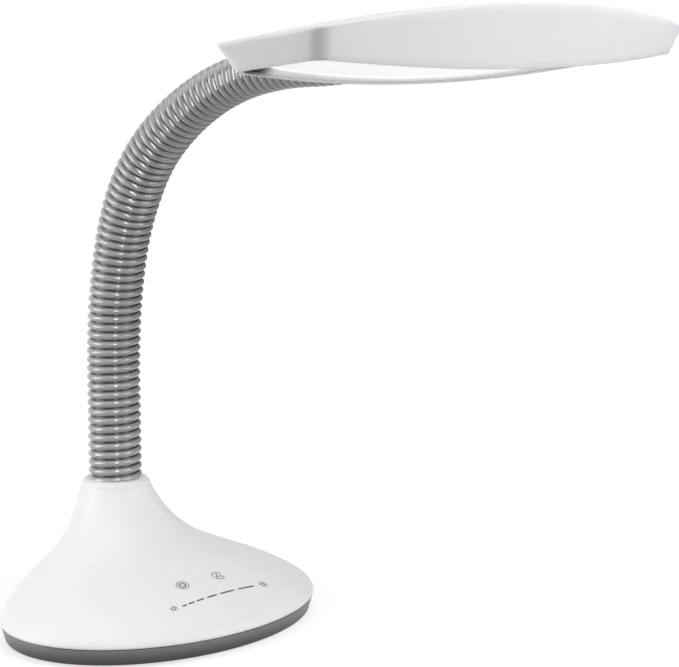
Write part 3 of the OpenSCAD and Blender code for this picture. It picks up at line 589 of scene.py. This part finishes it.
class LAMP_OT_marks(bpy.types.Operator):
    """Printed marks on the front slope: power ring, mode mark, two suns and the slider's dashes"""

    bl_idname = "lamp.marks"
    bl_label = "Printed marks"

    def execute(self, context):
        shape = CoverShape(context.scene.lamp_base)
        # Flat grey ink: a soft mid grey with no shine of its own
        ink = surface(
            "Printed ink, matt grey", context.scene.lamp_colours.ink, 0.6, 0.4, bump=0.02
        )[0]

        def stroke(path, widths, closed=False):
            """Thin closed strip of ink along a path of the plan in mm, on the cover."""
            path = np.asarray(path, float) * MM
            if closed:
                way = np.roll(path, -1, 0) - np.roll(path, 1, 0)
            else:
                way = np.gradient(path, axis=0)
            way /= np.linalg.norm(way, axis=1, keepdims=True)
            half = np.broadcast_to(widths, len(path))[:, None] * MM / 2
            side = np.stack([-way[:, 1], way[:, 0]], 1) * half
            rings = []
            for turn, lift in ((1, INK_TOP), (-1, INK_TOP), (-1, INK_FOOT), (1, INK_FOOT)):
                plan = path + turn * side
                z = shape.above(plan[:, 0], plan[:, 1]) + lift * MM
                rings.append(np.column_stack([plan, z]))
            return skin_rings(np.stack(rings, 1), loop=closed, caps=not closed)

        def arc(x, y, r, line, start=0, sweep=360):
            """Arc or whole ring."""
            closed = sweep >= 360
            shares = np.linspace(0, 1, ARC_POINTS)[: ARC_POINTS - closed]
            angles = np.radians(start + sweep * shares)
            path = np.column_stack([x + r * np.cos(angles), y + FLAT * r * np.sin(angles)])
            return stroke(path, line, closed)

        def dot(x, y, r):
            """Filled dot."""
            turn = np.linspace(DOT_START, math.pi - DOT_START, DOT_POINTS)
            path = np.column_stack([x - r * np.cos(turn), np.full(DOT_POINTS, y)])
            return stroke(path, 2 * FLAT * r * np.sin(turn))

        def sun(x, y, r, line):
            """Ring with rays."""
            rays = [arc(x, y, SUN_DISC * r, line)]
            for angle in np.arange(SUN_RAYS) * 2 * math.pi / SUN_RAYS:
                way = np.array([math.cos(angle), FLAT * math.sin(angle)])
                rays.append(stroke([(x, y) + way * r * share for share in SUN_RAY], line))
            return rays

        def dash(low, high):
            """Dash of the slider, rounded off at both ends."""
            xs = np.linspace(low, high, DASH_POINTS)
            bend = np.poly1d(np.polyfit(*zip(*SLIDER), 2))
            ends = np.linspace(-1, 1, DASH_POINTS) ** DASH_POWER
            widths = DASH_LINE * np.sqrt(np.maximum(DASH_END, 1 - ends))
            return stroke(np.column_stack([xs, bend(xs)]), widths)

        bar = stroke([(POWER[0], POWER[1] + FLAT * y) for y in POWER_BAR], BAR_LINE)
        dots = [dot(MODE[0] + x, MODE[1] + FLAT * y, DOT) for x, y in MODE_DOTS]
        marks = {
            "mark_power": [arc(*POWER, *RING), arc(*POWER, *POWER_ARC), bar],
            "mark_mode": [arc(*MODE, *RING, *MODE_SWEEP)] + dots,
            "mark_dim": sun(*DIM, *DIM_SUN),
            "mark_bright": sun(*BRIGHT, *BRIGHT_SUN),
            "mark_slider": [dash(low, high) for low, high in DASHES],
        }
        for name, parts in marks.items():
            piece(name, join(parts), ink, "base")
        return {"FINISHED"}


# Bends: share of a bend that stays straight at each end, and step in rings inside a bore
BEND_INSET, BORE_STEP = 0.12, 8
# Sleeve: points round it, rings of a turn, power of the rib, and depths between which painted
# shade darkens it
SLEEVE_SIDES, TURN_RINGS = 48, 20
RIB_POWER, TROUGH_SHADE_DEPTHS = 0.95, (0.3, 0.95)
# Lead: points round it, rings of a link, rings before the neck's foot and past its end, length that
# lies flat, and the point under the foot where it turns up
LEAD_SIDES, LEAD_STEPS = 12, 10
LEAD_BEFORE, LEAD_PAST = 2, 5
LEAD_FLAT, LEAD_BACK, LEAD_BELOW = 7.5 * MM, 3 * MM, 34 * MM


def neck_pivots(sizes):
    """The neck's foot, its nine pivots and its end; the two lowest links stand upright."""
    inner = np.array([joint["pos_m"] for joint in frame["joints"]])
    link = np.linalg.norm(inner[1] - inner[0])
    tip = np.array([0, -math.sin(sizes.tip_lean), math.cos(sizes.tip_lean)])
    return np.vstack([2 * inner[0] - inner[1], inner, inner[-1] + link * tip])


def neck_line(pivots, q):
    """Points and directions on the neck's middle line, q links from its foot.

    The line bends between the middles of links, and is straight below the first and past the last.
    """
    links = len(pivots) - 1
    middles = (pivots[:-1] + pivots[1:]) / 2
    k = np.clip(np.floor(q + 0.5).astype(int), 1, links - 1)
    t = (q + 0.5 - k)[:, None]
    point = (1 - t) ** 2 * middles[k - 1] + 2 * t * (1 - t) * pivots[k] + t * t * middles[k]
    way = (1 - t) * (pivots[k] - middles[k - 1]) + t * (middles[k] - pivots[k])
    q = q[:, None]
    for straight, foot, step, away in (
        (q < 0.5, pivots[0], pivots[1] - pivots[0], q),
        (q > links - 0.5, pivots[-1], pivots[-1] - pivots[-2], q - links),
    ):
        point = np.where(straight, foot + away * step, point)
        way = np.where(straight, step, way)
    return point, way / np.linalg.norm(way, axis=1, keepdims=True)


def round_line(points, ways, radii):
    """Rings round a line in the plane x = 0; radii has a row for each ring."""
    c, s = circle(radii.shape[1])
    up = np.column_stack([np.zeros(len(ways)), ways[:, 2], -ways[:, 1]])
    rings = points[:, None, :] + (radii * s)[:, :, None] * up[:, None, :]
    rings[:, :, 0] += radii * c
    return rings


def split_blend(node, material, pivots, rings, steps, first=0,
                inner=None, normals=None, groove=None):
    """Cuts rings into a piece for each joint, from link middle to link middle.

    first is the ring at the neck's foot and steps the rings of a link; inner rings close a bore.
    normals and groove hold a direction and a depth for each point of the rings.
    """
    for k in range(1, len(pivots) - 1):
        low = 0 if k == 1 else first + round((k - 0.5) * steps)
        high = len(rings) if k == len(pivots) - 2 else first + round((k + 0.5) * steps) + 1
        outer = rings[low:high]
        if inner is None:
            skin = skin_rings(outer, caps=True)
        else:
            rows = sorted({*range(0, high - low, BORE_STEP), high - low - 1}, reverse=True)
            skin = skin_rings(np.concatenate([outer, inner[low:high][rows]]), loop=True)
        made = piece(f"{node}_{k}", skin, material, None, [node])
        if normals is not None:
            seen, count = outer.shape[0] * outer.shape[1], len(made.data.vertices)
            given, depth = np.zeros((count, 3)), np.zeros(count)
            given[:seen] = normals[low:high].reshape(-1, 3)
            depth[:seen] = groove[low:high].ravel()
            made.data.normals_split_custom_set_from_vertices(given.tolist())
            made.data.attributes.new("groove", "FLOAT", "POINT").data.foreach_set("value", depth)
        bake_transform(made)


class LAMP_OT_sleeve(bpy.types.Operator):
    """Ribbed sleeve: one right-handed helical rib, in a piece for each joint of the neck"""

    bl_idname = "lamp.sleeve"
    bl_label = "Ribbed sleeve"

    def execute(self, context):
        s, colours = context.scene.lamp_neck, context.scene.lamp_colours
        pivots = neck_pivots(s)
        links = len(pivots) - 1
        steps = round(TURN_RINGS * s.turns / links)
        q = np.linspace(0, links, links * steps + 1)
        points, ways = neck_line(pivots, q)
        whole = links * np.linalg.norm(pivots[1] - pivots[0])
        run = q * whole / links
        narrow = np.maximum(0, run - s.straight) / (whole - s.straight)
        crest = s.crest - (s.crest - s.crest_tip) * narrow
        around = np.arange(SLEEVE_SIDES)[None, :] / SLEEVE_SIDES
        turn = (run / whole * s.turns)[:, None] - around
        dip = 1 - np.abs(np.sin(math.pi * turn)) ** RIB_POWER
        rings = round_line(points, ways, crest[:, None] - s.groove * dip)
        bore = np.repeat(crest[:, None] - s.wall, SLEEVE_SIDES, axis=1)
        across = np.roll(rings, -1, axis=1) - np.roll(rings, 1, axis=1)
        normals = np.cross(across, np.gradient(rings, axis=0))
        normals /= np.linalg.norm(normals, axis=2, keepdims=True)
        # Silvery grey PVC: each turn carries a bright streak of light; painted shade darkens the
        # troughs between, by the groove's depth
        grey, tree, skin = surface(
            "Ribbed PVC, silvery grey satin", colours.sleeve, 0.24, 0.6, bump=0.03,
            **{"Coat Weight": 0.6, "Coat Roughness": 0.16},
        )
        deep = add_node(tree, "ShaderNodeAttribute", attribute_name="groove").outputs["Fac"]
        start, end = TROUGH_SHADE_DEPTHS
        trough_painted_shade = add_node(
            tree, "ShaderNodeMapRange", {"Value": deep, "From Min": start, "From Max": end},
            interpolation_type="SMOOTHSTEP",
        ).outputs[0]
        tint(tree, skin, trough_painted_shade, colours.trough_painted_shade)
        split_blend(
            "neck_sleeve", grey, pivots, rings, steps,
            inner=round_line(points, ways, bore), normals=normals, groove=dip,
        )
        return {"FINISHED"}


class LAMP_OT_lead(bpy.types.Operator):
    """Lead from the driver board through the neck to the light board"""

    bl_idname = "lamp.lead"
    bl_label = "Lead"

    def execute(self, context):
        s = context.scene.lamp_neck
        pivots = neck_pivots(s)
        last = (len(pivots) - 1) * LEAD_STEPS + LEAD_PAST
        points, ways = neck_line(pivots, np.arange(-LEAD_BEFORE, last) / LEAD_STEPS)
        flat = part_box("lamp_lead")[0].z + s.lead
        solid = frame["nodes"]["lamp_lead"].data.vertices
        back = min(vertex.co.y for vertex in solid if vertex.co.z < flat)
        under = (0, pivots[0][1] - LEAD_BACK, pivots[0][2] - LEAD_BELOW)
        start = [(0, back, flat), (0, back + LEAD_FLAT, flat), under]
        heading = np.array([(0, 1, 0), (0, 1, 0), (0, 1, 1)], float)
        points = np.vstack([start, points])
        ways = np.vstack([heading / np.linalg.norm(heading, axis=1, keepdims=True), ways])
        rings = round_line(points, ways, np.full((len(points), LEAD_SIDES), s.lead))
        # Black PVC sheath: dull, with a faint sheen
        black = surface("Cable sheath, black PVC", to_linear("#1B1B1C"), 0.5, 0.5, bump=0.05)[0]
        first = len(start) + LEAD_BEFORE
        split_blend("lamp_lead", black, pivots, rings, LEAD_STEPS, first)
        return {"FINISHED"}


# Head: points of a corner, a long side and an end, rows in to the ridge, rings up the wall, edge of
# the lower rim, and depth of the collar's hole past the collar
CORNER_POINTS, LONG_POINTS, END_POINTS = 9, 81, 9
FILL_ROWS, WALL_RINGS = 10, 9
HEAD_RIM, HOLE_DEPTH = 0.35 * MM, 8 * MM
# Slants of the bezel's opening and the collar, and where the bezel's painted light and the
# diffuser's glow fade, in shares of the head's length, and their strength
BEZEL_SLANT, COLLAR_SLANT = 0.8 * MM, 0.6 * MM
BEZEL_FADE, BEZEL_PAINTED_GLOW = (0.375, 0.425), 0.28
PANEL_FADE, PANEL_GLOW = (0.385, 0.43), 0.43


class HeadShape:
    """Outline of the head: a loop of stations s along it, with a side, that runs round its edge."""

    def __init__(self, sizes, neck):
        self.sizes = sizes
        end = Matrix.Translation(neck_pivots(neck)[-1])
        tilt = Matrix.Rotation(neck.tip_lean - math.pi / 2, 4, "X")
        self.place = np.array(end @ tilt @ Matrix.Translation((0, -sizes.reach, sizes.drop)))
        turn = 2 * sizes.corner / sizes.long
        bend = turn * (1 - np.cos(quarter(CORNER_POINTS)))
        straight = np.linspace(turn - 1, 1 - turn, LONG_POINTS)
        s = np.concatenate([bend[:-1] - 1, straight, 1 - bend[-2::-1]])
        across = np.linspace(-1, 1, END_POINTS)[1:-1]
        ends, sides = np.ones(len(across)), np.ones(len(s))
        self.s = np.concatenate([s, ends, s[::-1], -ends])
        self.side = np.concatenate([-sides, across, sides, across[::-1]])

    def loop(self, v, end, long, z):
        """Ring at share v of the height, drawn in by insets at the ends and the long sides."""
        h, s = self.sizes, self.s
        mid = 1 - s * s
        x = s * ((h.low_long + (h.long - h.low_long) * v) / 2 - end)
        d = np.maximum(0, h.corner - (1 - np.abs(s)) * h.long / 2)
        rounded = h.corner - np.sqrt(np.maximum(0, h.corner**2 - d * d))
        low = h.low_deep / 2 + h.low_bulge * mid
        high = h.deep / 2 + h.bulge * mid
        y = low + (high - low) * v - long - rounded
        return np.stack([x, self.side * y, np.broadcast_to(z, x.shape)], axis=1)

    def low(self):
        """Heights of the lower edge."""
        return -self.sizes.thick - self.sizes.bow * (1 - self.s**2)

    def top(self):
        """Heights of the top edge."""
        return self.sizes.arch * (1 - self.s**2)

    def slice(self, height, end, long):
        """Ring inside the head at a height above its lower edge."""
        return self.loop(height / (self.top() - self.low()), end, long, self.low() + height)

    def fill(self, ring, crown=0.0):
        """Rings from an edge ring in to a ridge along the middle, over a crown."""
        end = ring[0, 2]
        rise = ring[np.argmin(np.abs(self.s)), 2] - end
        rows = []
        for t in np.cos(quarter(FILL_ROWS + 1))[1:]:
            draw = 1 - (1 - t) * self.sizes.deep / self.sizes.long
            row = ring * (draw, t, 1)
            row[:, 2] = end + (rise + crown * (1 - t * t)) * (1 - (draw * self.s) ** 2)
            rows.append(row)
        rows[-1][:, 1] = 0
        return rows

    def placed(self, rings):
        """Rings moved from the head's own frame to the lamp's."""
        return np.asarray(rings) @ self.place[:3, :3].T + self.place[:3, 3]

    def turned(self, profile):
        """Placed rings round the neck's axis, from radii and distances along it."""
        c, n = circle(COLLAR_POINTS)
        level, drop = np.ones(COLLAR_POINTS), self.sizes.drop
        return self.placed([np.column_stack([r * c, y * level, r * n - drop]) for r, y in profile])


class LAMP_OT_head(bpy.types.Operator):
    """Head cover: drafted walls, rounded corners and top edge, and a crowned top"""

    bl_idname = "lamp.head"
    bl_label = "Head cover"

    def execute(self, context):
        h = context.scene.lamp_head
        shape = HeadShape(h, context.scene.lamp_neck)
        low, top = shape.low(), shape.top()
        outer = [shape.loop(0, HEAD_RIM, HEAD_RIM, low), shape.loop(0, 0, 0, low + HEAD_RIM)]
        for v in np.linspace(0, 1, WALL_RINGS)[1:]:
            outer.append(shape.loop(v, 0, 0, low + (top - h.edge - low) * v))
        for inset, drop in rounding(h.edge, 7)[1:]:
            outer.append(shape.loop(1, inset, inset, top - drop))
        outer += shape.fill(outer[-1], h.crown)
        inner = [shape.loop(0, h.wall, h.wall, low), shape.loop(1, h.wall, h.wall, top - h.wall)]
        inner += shape.fill(inner[-1], h.crown)
        # Silver-white paint on ABS: a pale grey with a faint upright grain and a bright top edge
        silver = surface(
            "Painted ABS, silver white satin", context.scene.lamp_colours.head, 0.4, 1.2,
            bump=0.03, drift=0.05, stretch=(1.0, 1.0, 0.06), **{"Specular IOR Level": 0.25},
        )[0]
        shell = skin_rings(shape.placed(outer[::-1] + inner))
        made = piece("head_shell", shell, silver, "head", ["head_cover"])
        wide = h.collar + FIT
        hole = [(wide, h.reach - h.collar_long - HOLE_DEPTH), (wide, h.reach + 2 * h.wall)]
        cut(made, [piece("cutter", skin_rings(shape.turned(hole), caps=True), silver)])
        return {"FINISHED"}


class LAMP_OT_light(bpy.types.Operator):
    """Bezel and diffuser in the head's underside"""

    bl_idname = "lamp.light"
    bl_label = "Bezel and diffuser"

    def execute(self, context):
        h, colours = context.scene.lamp_head, context.scene.lamp_colours
        shape = HeadShape(h, context.scene.lamp_neck)
        low, high = h.sunk, h.sunk + h.bezel
        edge, slant = h.wall + h.bezel_gap, BEZEL_SLANT
        rings = [
            shape.slice(low, edge, edge),
            shape.slice(low, h.bezel_end - slant, h.bezel_side - slant),
            shape.slice(low + slant, h.bezel_end, h.bezel_side),
            shape.slice(high, h.bezel_end, h.bezel_side),
            shape.slice(high, edge, edge),
        ]
        # Grey ABS, dark at the ends; along the sides a painted pale tone and a painted glow stand
        # in for the panel's light on it
        grey, tree, skin = surface(
            "Moulded ABS, grey with painted light", colours.bezel, 0.7, 0.7, bump=0.05,
            **{"Specular IOR Level": 0.1},
        )
        start, end = (share * h.long for share in BEZEL_FADE)
        tint(tree, skin, along(tree, "X", start, end, 1.0, 0.0), colours.head)
        light_up(tree, skin, colours.diffuser, along(tree, "X", start, end, BEZEL_PAINTED_GLOW, 0.0))
        bezel = skin_rings(shape.placed(rings), loop=True)
        piece("head_frame", bezel, grey, "head", ["head_bezel"])
        faces = []
        for height in (high + FIT, high + FIT + h.panel):
            rim = shape.slice(height, h.bezel_end - h.panel_lap, h.bezel_side - h.panel_lap)
            faces.append([rim] + shape.fill(rim))
        # Milky acrylic lit from behind: an even white that falls off towards the ends
        milky, tree, skin = surface(
            "Acrylic sheet, milky and lit", colours.diffuser, 0.45, 2.0, bump=0.02
        )
        start, end = (share * h.long for share in PANEL_FADE)
        light_up(tree, skin, colours.diffuser, along(tree, "X", start, end, PANEL_GLOW, 0.0))
        panel = skin_rings(shape.placed(faces[0][::-1] + faces[1]))
        piece("light_panel", panel, milky, "head", ["diffuser"])
        return {"FINISHED"}


class LAMP_OT_collar(bpy.types.Operator):
    """Collar where the neck enters the head"""

    bl_idname = "lamp.collar"
    bl_label = "Collar"

    def execute(self, context):
        h = context.scene.lamp_head
        shape = HeadShape(h, context.scene.lamp_neck)
        start, end, slant = h.reach - FIT, h.reach - h.collar_long, COLLAR_SLANT
        rings = shape.turned([
            (h.collar_bore, start), (h.collar - slant, start), (h.collar, start - slant),
            (h.collar, end + slant), (h.collar - slant, end), (h.collar_bore, end),
        ])
        # Dark grey ABS: a dull ring round the end of the neck
        dark = surface(
            "Moulded ABS, dark grey satin", context.scene.lamp_colours.collar, 0.45, 0.7, bump=0.05
        )[0]
        collar = skin_rings(rings, loop=True)
        piece("neck_boss", collar, dark, "head", ["neck_collar"])
        return {"FINISHED"}


METAL = {"Metallic": 1.0}
LINKS = [f"neck_link_{k}" for k in range(1, 9)]
# Solids shown as they are: name, colour, roughness, grain in mm and settings of their finish
FINISHES = [
    # Black rubber: dull and slightly rough
    (["foot_ring"], "Rubber, black matt", "#1C1C1C", 0.8, 0.6, {"bump": 0.2}),
    # Zinc-plated steel: pale, with fine turning marks
    (["tray_screws", "light_screws", "clamp_screws", "neck_nut", "neck_washer"],
     "Steel, zinc plated", "#B9BBBE", 0.3, 0.4, {"stretch": (1, 1, 6), **METAL}),
    # Drawn steel tube: a darker metal with lengthwise streaks
    (["neck_anchor", "neck_tip"] + LINKS,
     "Steel tube, drawn", "#9A9CA0", 0.35, 0.8, {"stretch": (4, 4, 1), **METAL}),
    # Nickel-plated shell of the socket: bright edges round a dark slot
    (["usb_socket"], "Steel shell, nickel plated", "#8D8F93", 0.3, 0.5, {"bump": 0.05, **METAL}),
    # Black moulded plastic: a dull dark ring round the inlet's bore
    (["dc_inlet", "neck_clamp"], "Moulded nylon, black", "#1E1E20", 0.5, 0.5, {}),
    # Cast iron: rough and dark
    (["ballast"], "Cast iron, raw", "#4A4A4C", 0.7, 1.5, {"bump": 0.5, "drift": 0.3, **METAL}),
    # Green lacquer over glass weave: an even, slightly glossy green
    (["driver_board", "touch_board"], "Circuit board, green lacquer", "#2C6A42", 0.35, 0.6, {}),
    # White nylon: waxy and pale
    (["board_spacers"], "Nylon, natural white", "#E4E3DC", 0.45, 0.6, {}),
    # White solder mask on aluminium: a flat, bright white
    (["light_board"], "Solder mask, white", "#F0F0EE", 0.35, 0.6, {}),
    # Bare rolled aluminium: a pale metal with streaks along its length
    (["heat_spreader"],
     "Aluminium sheet, rolled", "#C3C5C8", 0.35, 0.8, {"stretch": (0.05, 1, 1), **METAL}),
    # Yellow phosphor under clear resin: a glossy warm yellow
    (["leds"], "Phosphor resin, yellow", "#EFDC7C", 0.25, 0.4, {}),
]


class LAMP_OT_inside(bpy.types.Operator):
    """Finishes of the solids shown as they are: feet, fasteners, sockets, boards and links"""

    bl_idname = "lamp.inside"
    bl_label = "Carried-over solids"

    def execute(self, context):
        for nodes, name, code, rough, grain, settings in FINISHES:
            finish = surface(name, to_linear(code), rough, grain, **settings)[0]
            for node in nodes:
                mesh = frame["nodes"][node].data
                mesh.materials.clear()
                mesh.materials.append(finish)
        return {"FINISHED"}


# Camera: lens and sensor in mm, place in metres, tilt down and turn in degrees
LENS, SENSOR = 105.96, 36.0
EYE = (-0.7436, -0.7991, 0.3306)
TILT, TURN = 8.765, -48.213
# Floor: half its width and its depth under the lamp in metres, and glow between two distances
FLOOR_REACH, FLOOR_DROP = 40.0, 0.0005
FLOOR_NEAR, FLOOR_FAR = 0.15, 0.7
FLOOR_GLOW, FAR_GLOW = 0.7, 0.98
# Card: two corners of its foot and its height in metres
CARD_FOOT, CARD_TOP = ((0.3, -0.3), (1.5, 0.78)), 0.9
# Light of the surroundings on the lamp, and the point that the lights face
WORLD_LEVEL = 0.13
LIGHT_AIM = (0.0, -0.05, 0.2)
# Lights: name, place, width and height in metres, power in watts, and whether in gloss only
LIGHTS = [
    ("left", (-1.15, 0.75, 0.45), (0.9, 0.9), 14.5, False),
    ("key", (0.35, -1.35, 0.8), (0.8, 0.8), 15.2, False),
    ("overhead", (-0.1, -0.1, 1.7), (0.9, 0.9), 8.6, False),
    ("streak", (-0.78, -1.05, 1.0), (0.22, 1.3), 17.0, True),
    ("wing", (-1.25, 0.75, 0.95), (1.4, 1.0), 11.0, True),
]


def soft_light(name, spot, size, watts, sheen):
    """Area light of a width and height that faces the lamp; sheen shows in gloss only."""
    data = bpy.data.lights.new(name, "AREA")
    data.shape = "RECTANGLE"
    data.size, data.size_y = size
    data.energy = watts
    made = show(bpy.data.objects.new(name, data))
    made.visible_diffuse = not sheen
    made.location = spot
    made.rotation_euler = (Vector(LIGHT_AIM) - Vector(spot)).to_track_quat("-Z", "Y").to_euler()


def sheet(name, corners):
    """Flat four-cornered object of the stage."""
    mesh = bpy.data.meshes.new(name)
    mesh.from_pydata(corners, [], [(0, 1, 2, 3)])
    made = show(bpy.data.objects.new(name, mesh))
    return made


def seen_rays(tree):
    """1 for rays from the camera and for reflected and transmitted ones, 0 for the rest."""
    path = add_node(tree, "ShaderNodeLightPath").outputs
    total = path["Is Camera Ray"]
    for kind in ("Is Glossy Ray", "Is Transmission Ray"):
        both = {0: total, 1: path[kind]}
        total = add_node(tree, "ShaderNodeMath", both, operation="ADD").outputs[0]
    return total


class LAMP_OT_stage(bpy.types.Operator):
    """Pale floor, soft studio light and the camera"""

    bl_idname = "lamp.stage"
    bl_label = "Stage"

    def execute(self, context):
        scene = context.scene
        scene.view_settings.view_transform = "Standard"
        lens = bpy.data.cameras.new("camera")
        lens.sensor_width = SENSOR
        lens.lens = LENS
        eye = show(bpy.data.objects.new("camera", lens))
        eye.location = EYE
        eye.rotation_euler = (math.radians(90 - TILT), 0, math.radians(TURN))
        scene.camera = eye
        r = FLOOR_REACH
        plan = ((-r, -r), (r, -r), (r, r), (-r, r))
        floor = sheet("floor", [(x, y, -FLOOR_DROP) for x, y in plan])
        # Pale paper floor: plain white to the camera, with the lamp's soft shadow on it
        paper = bpy.data.materials.new("Paper floor, white matt")
        tree = blank_tree(paper)
        tone = scene.lamp_colours.floor
        matt = add_node(tree, "ShaderNodeBsdfDiffuse", {"Color": tone}).outputs[0]
        spot = add_node(tree, "ShaderNodeTexCoord").outputs["Object"]
        away = add_node(tree, "ShaderNodeVectorMath", {0: spot}, operation="LENGTH")
        level = add_node(
            tree, "ShaderNodeMapRange",
            {"Value": away.outputs["Value"], "From Min": FLOOR_NEAR, "From Max": FLOOR_FAR,
             "To Min": FLOOR_GLOW, "To Max": FAR_GLOW},
        ).outputs[0]
        lift = add_node(
            tree, "ShaderNodeMath", {0: seen_rays(tree), 1: level}, operation="MULTIPLY"
        ).outputs[0]
        glow = add_node(tree, "ShaderNodeEmission", {"Strength": lift}).outputs[0]
        both = add_node(tree, "ShaderNodeAddShader", {0: matt, 1: glow}).outputs[0]
        add_node(tree, "ShaderNodeOutputMaterial", {"Surface": both})
        floor.data.materials.append(paper)
        # Black card beside the lamp, unseen and without a shadow: darkens the sides that face it
        near, far = CARD_FOOT
        card = sheet("card", [(*near, 0), (*far, 0), (*far, CARD_TOP), (*near, CARD_TOP)])
        card.visible_camera = card.visible_shadow = False
        card.data.materials.append(surface("Card, matt black", to_linear("#151515"), 0.9, 1.0)[0])
        scene.world = bpy.data.worlds.new("studio")
        tree = blank_tree(scene.world)
        level = add_node(
            tree, "ShaderNodeMapRange",
            {"Value": seen_rays(tree), "To Min": WORLD_LEVEL, "To Max": 1.0},
        ).outputs[0]
        white = {"Color": (1, 1, 1, 1), "Strength": level}
        sky = add_node(tree, "ShaderNodeBackground", white).outputs[0]
        add_node(tree, "ShaderNodeOutputWorld", {"Surface": sky})
        for light in LIGHTS:
            soft_light(*light)
        return {"FINISHED"}


OPERATORS = [
    LAMP_OT_stage, LAMP_OT_cover, LAMP_OT_tray, LAMP_OT_marks, LAMP_OT_sleeve, LAMP_OT_lead,
    LAMP_OT_head, LAMP_OT_light, LAMP_OT_collar, LAMP_OT_inside,
]


class LAMP_PT_panel(bpy.types.Panel):
    """Lists the lamp's pieces"""

    bl_idname = "LAMP_PT_panel"
    bl_label = "Desk Lamp"
    bl_space_type = "VIEW_3D"
    bl_region_type = "UI"
    bl_category = "Desk Lamp"

    def draw(self, context):
        for operator in OPERATORS:
            self.layout.operator(operator.bl_idname)


GROUPS = {
    "lamp_base": LampBaseSizes,
    "lamp_neck": LampNeckSizes,
    "lamp_head": LampHeadSizes,
    "lamp_colours": LampColours,
}


def register():
    """Registers the classes and hangs the sizes and colours on the scene."""
    for cls in [*GROUPS.values(), *OPERATORS, LAMP_PT_panel]:
        bpy.utils.register_class(cls)
    for name, group in GROUPS.items():
        setattr(bpy.types.Scene, name, bpy.props.PointerProperty(type=group))


def unregister():
    """Takes the sizes and colours off the scene and the classes out."""
    for name in GROUPS:
        delattr(bpy.types.Scene, name)
    for cls in [LAMP_PT_panel, *reversed(OPERATORS), *GROUPS.values()]:
        bpy.utils.unregister_class(cls)


def main():
    """Builds the lamp."""
    register()
    for operator in OPERATORS:
        group, name = operator.bl_idname.split(".")
        getattr(getattr(bpy.ops, group), name)()


if __name__ == "__main__":
    main()
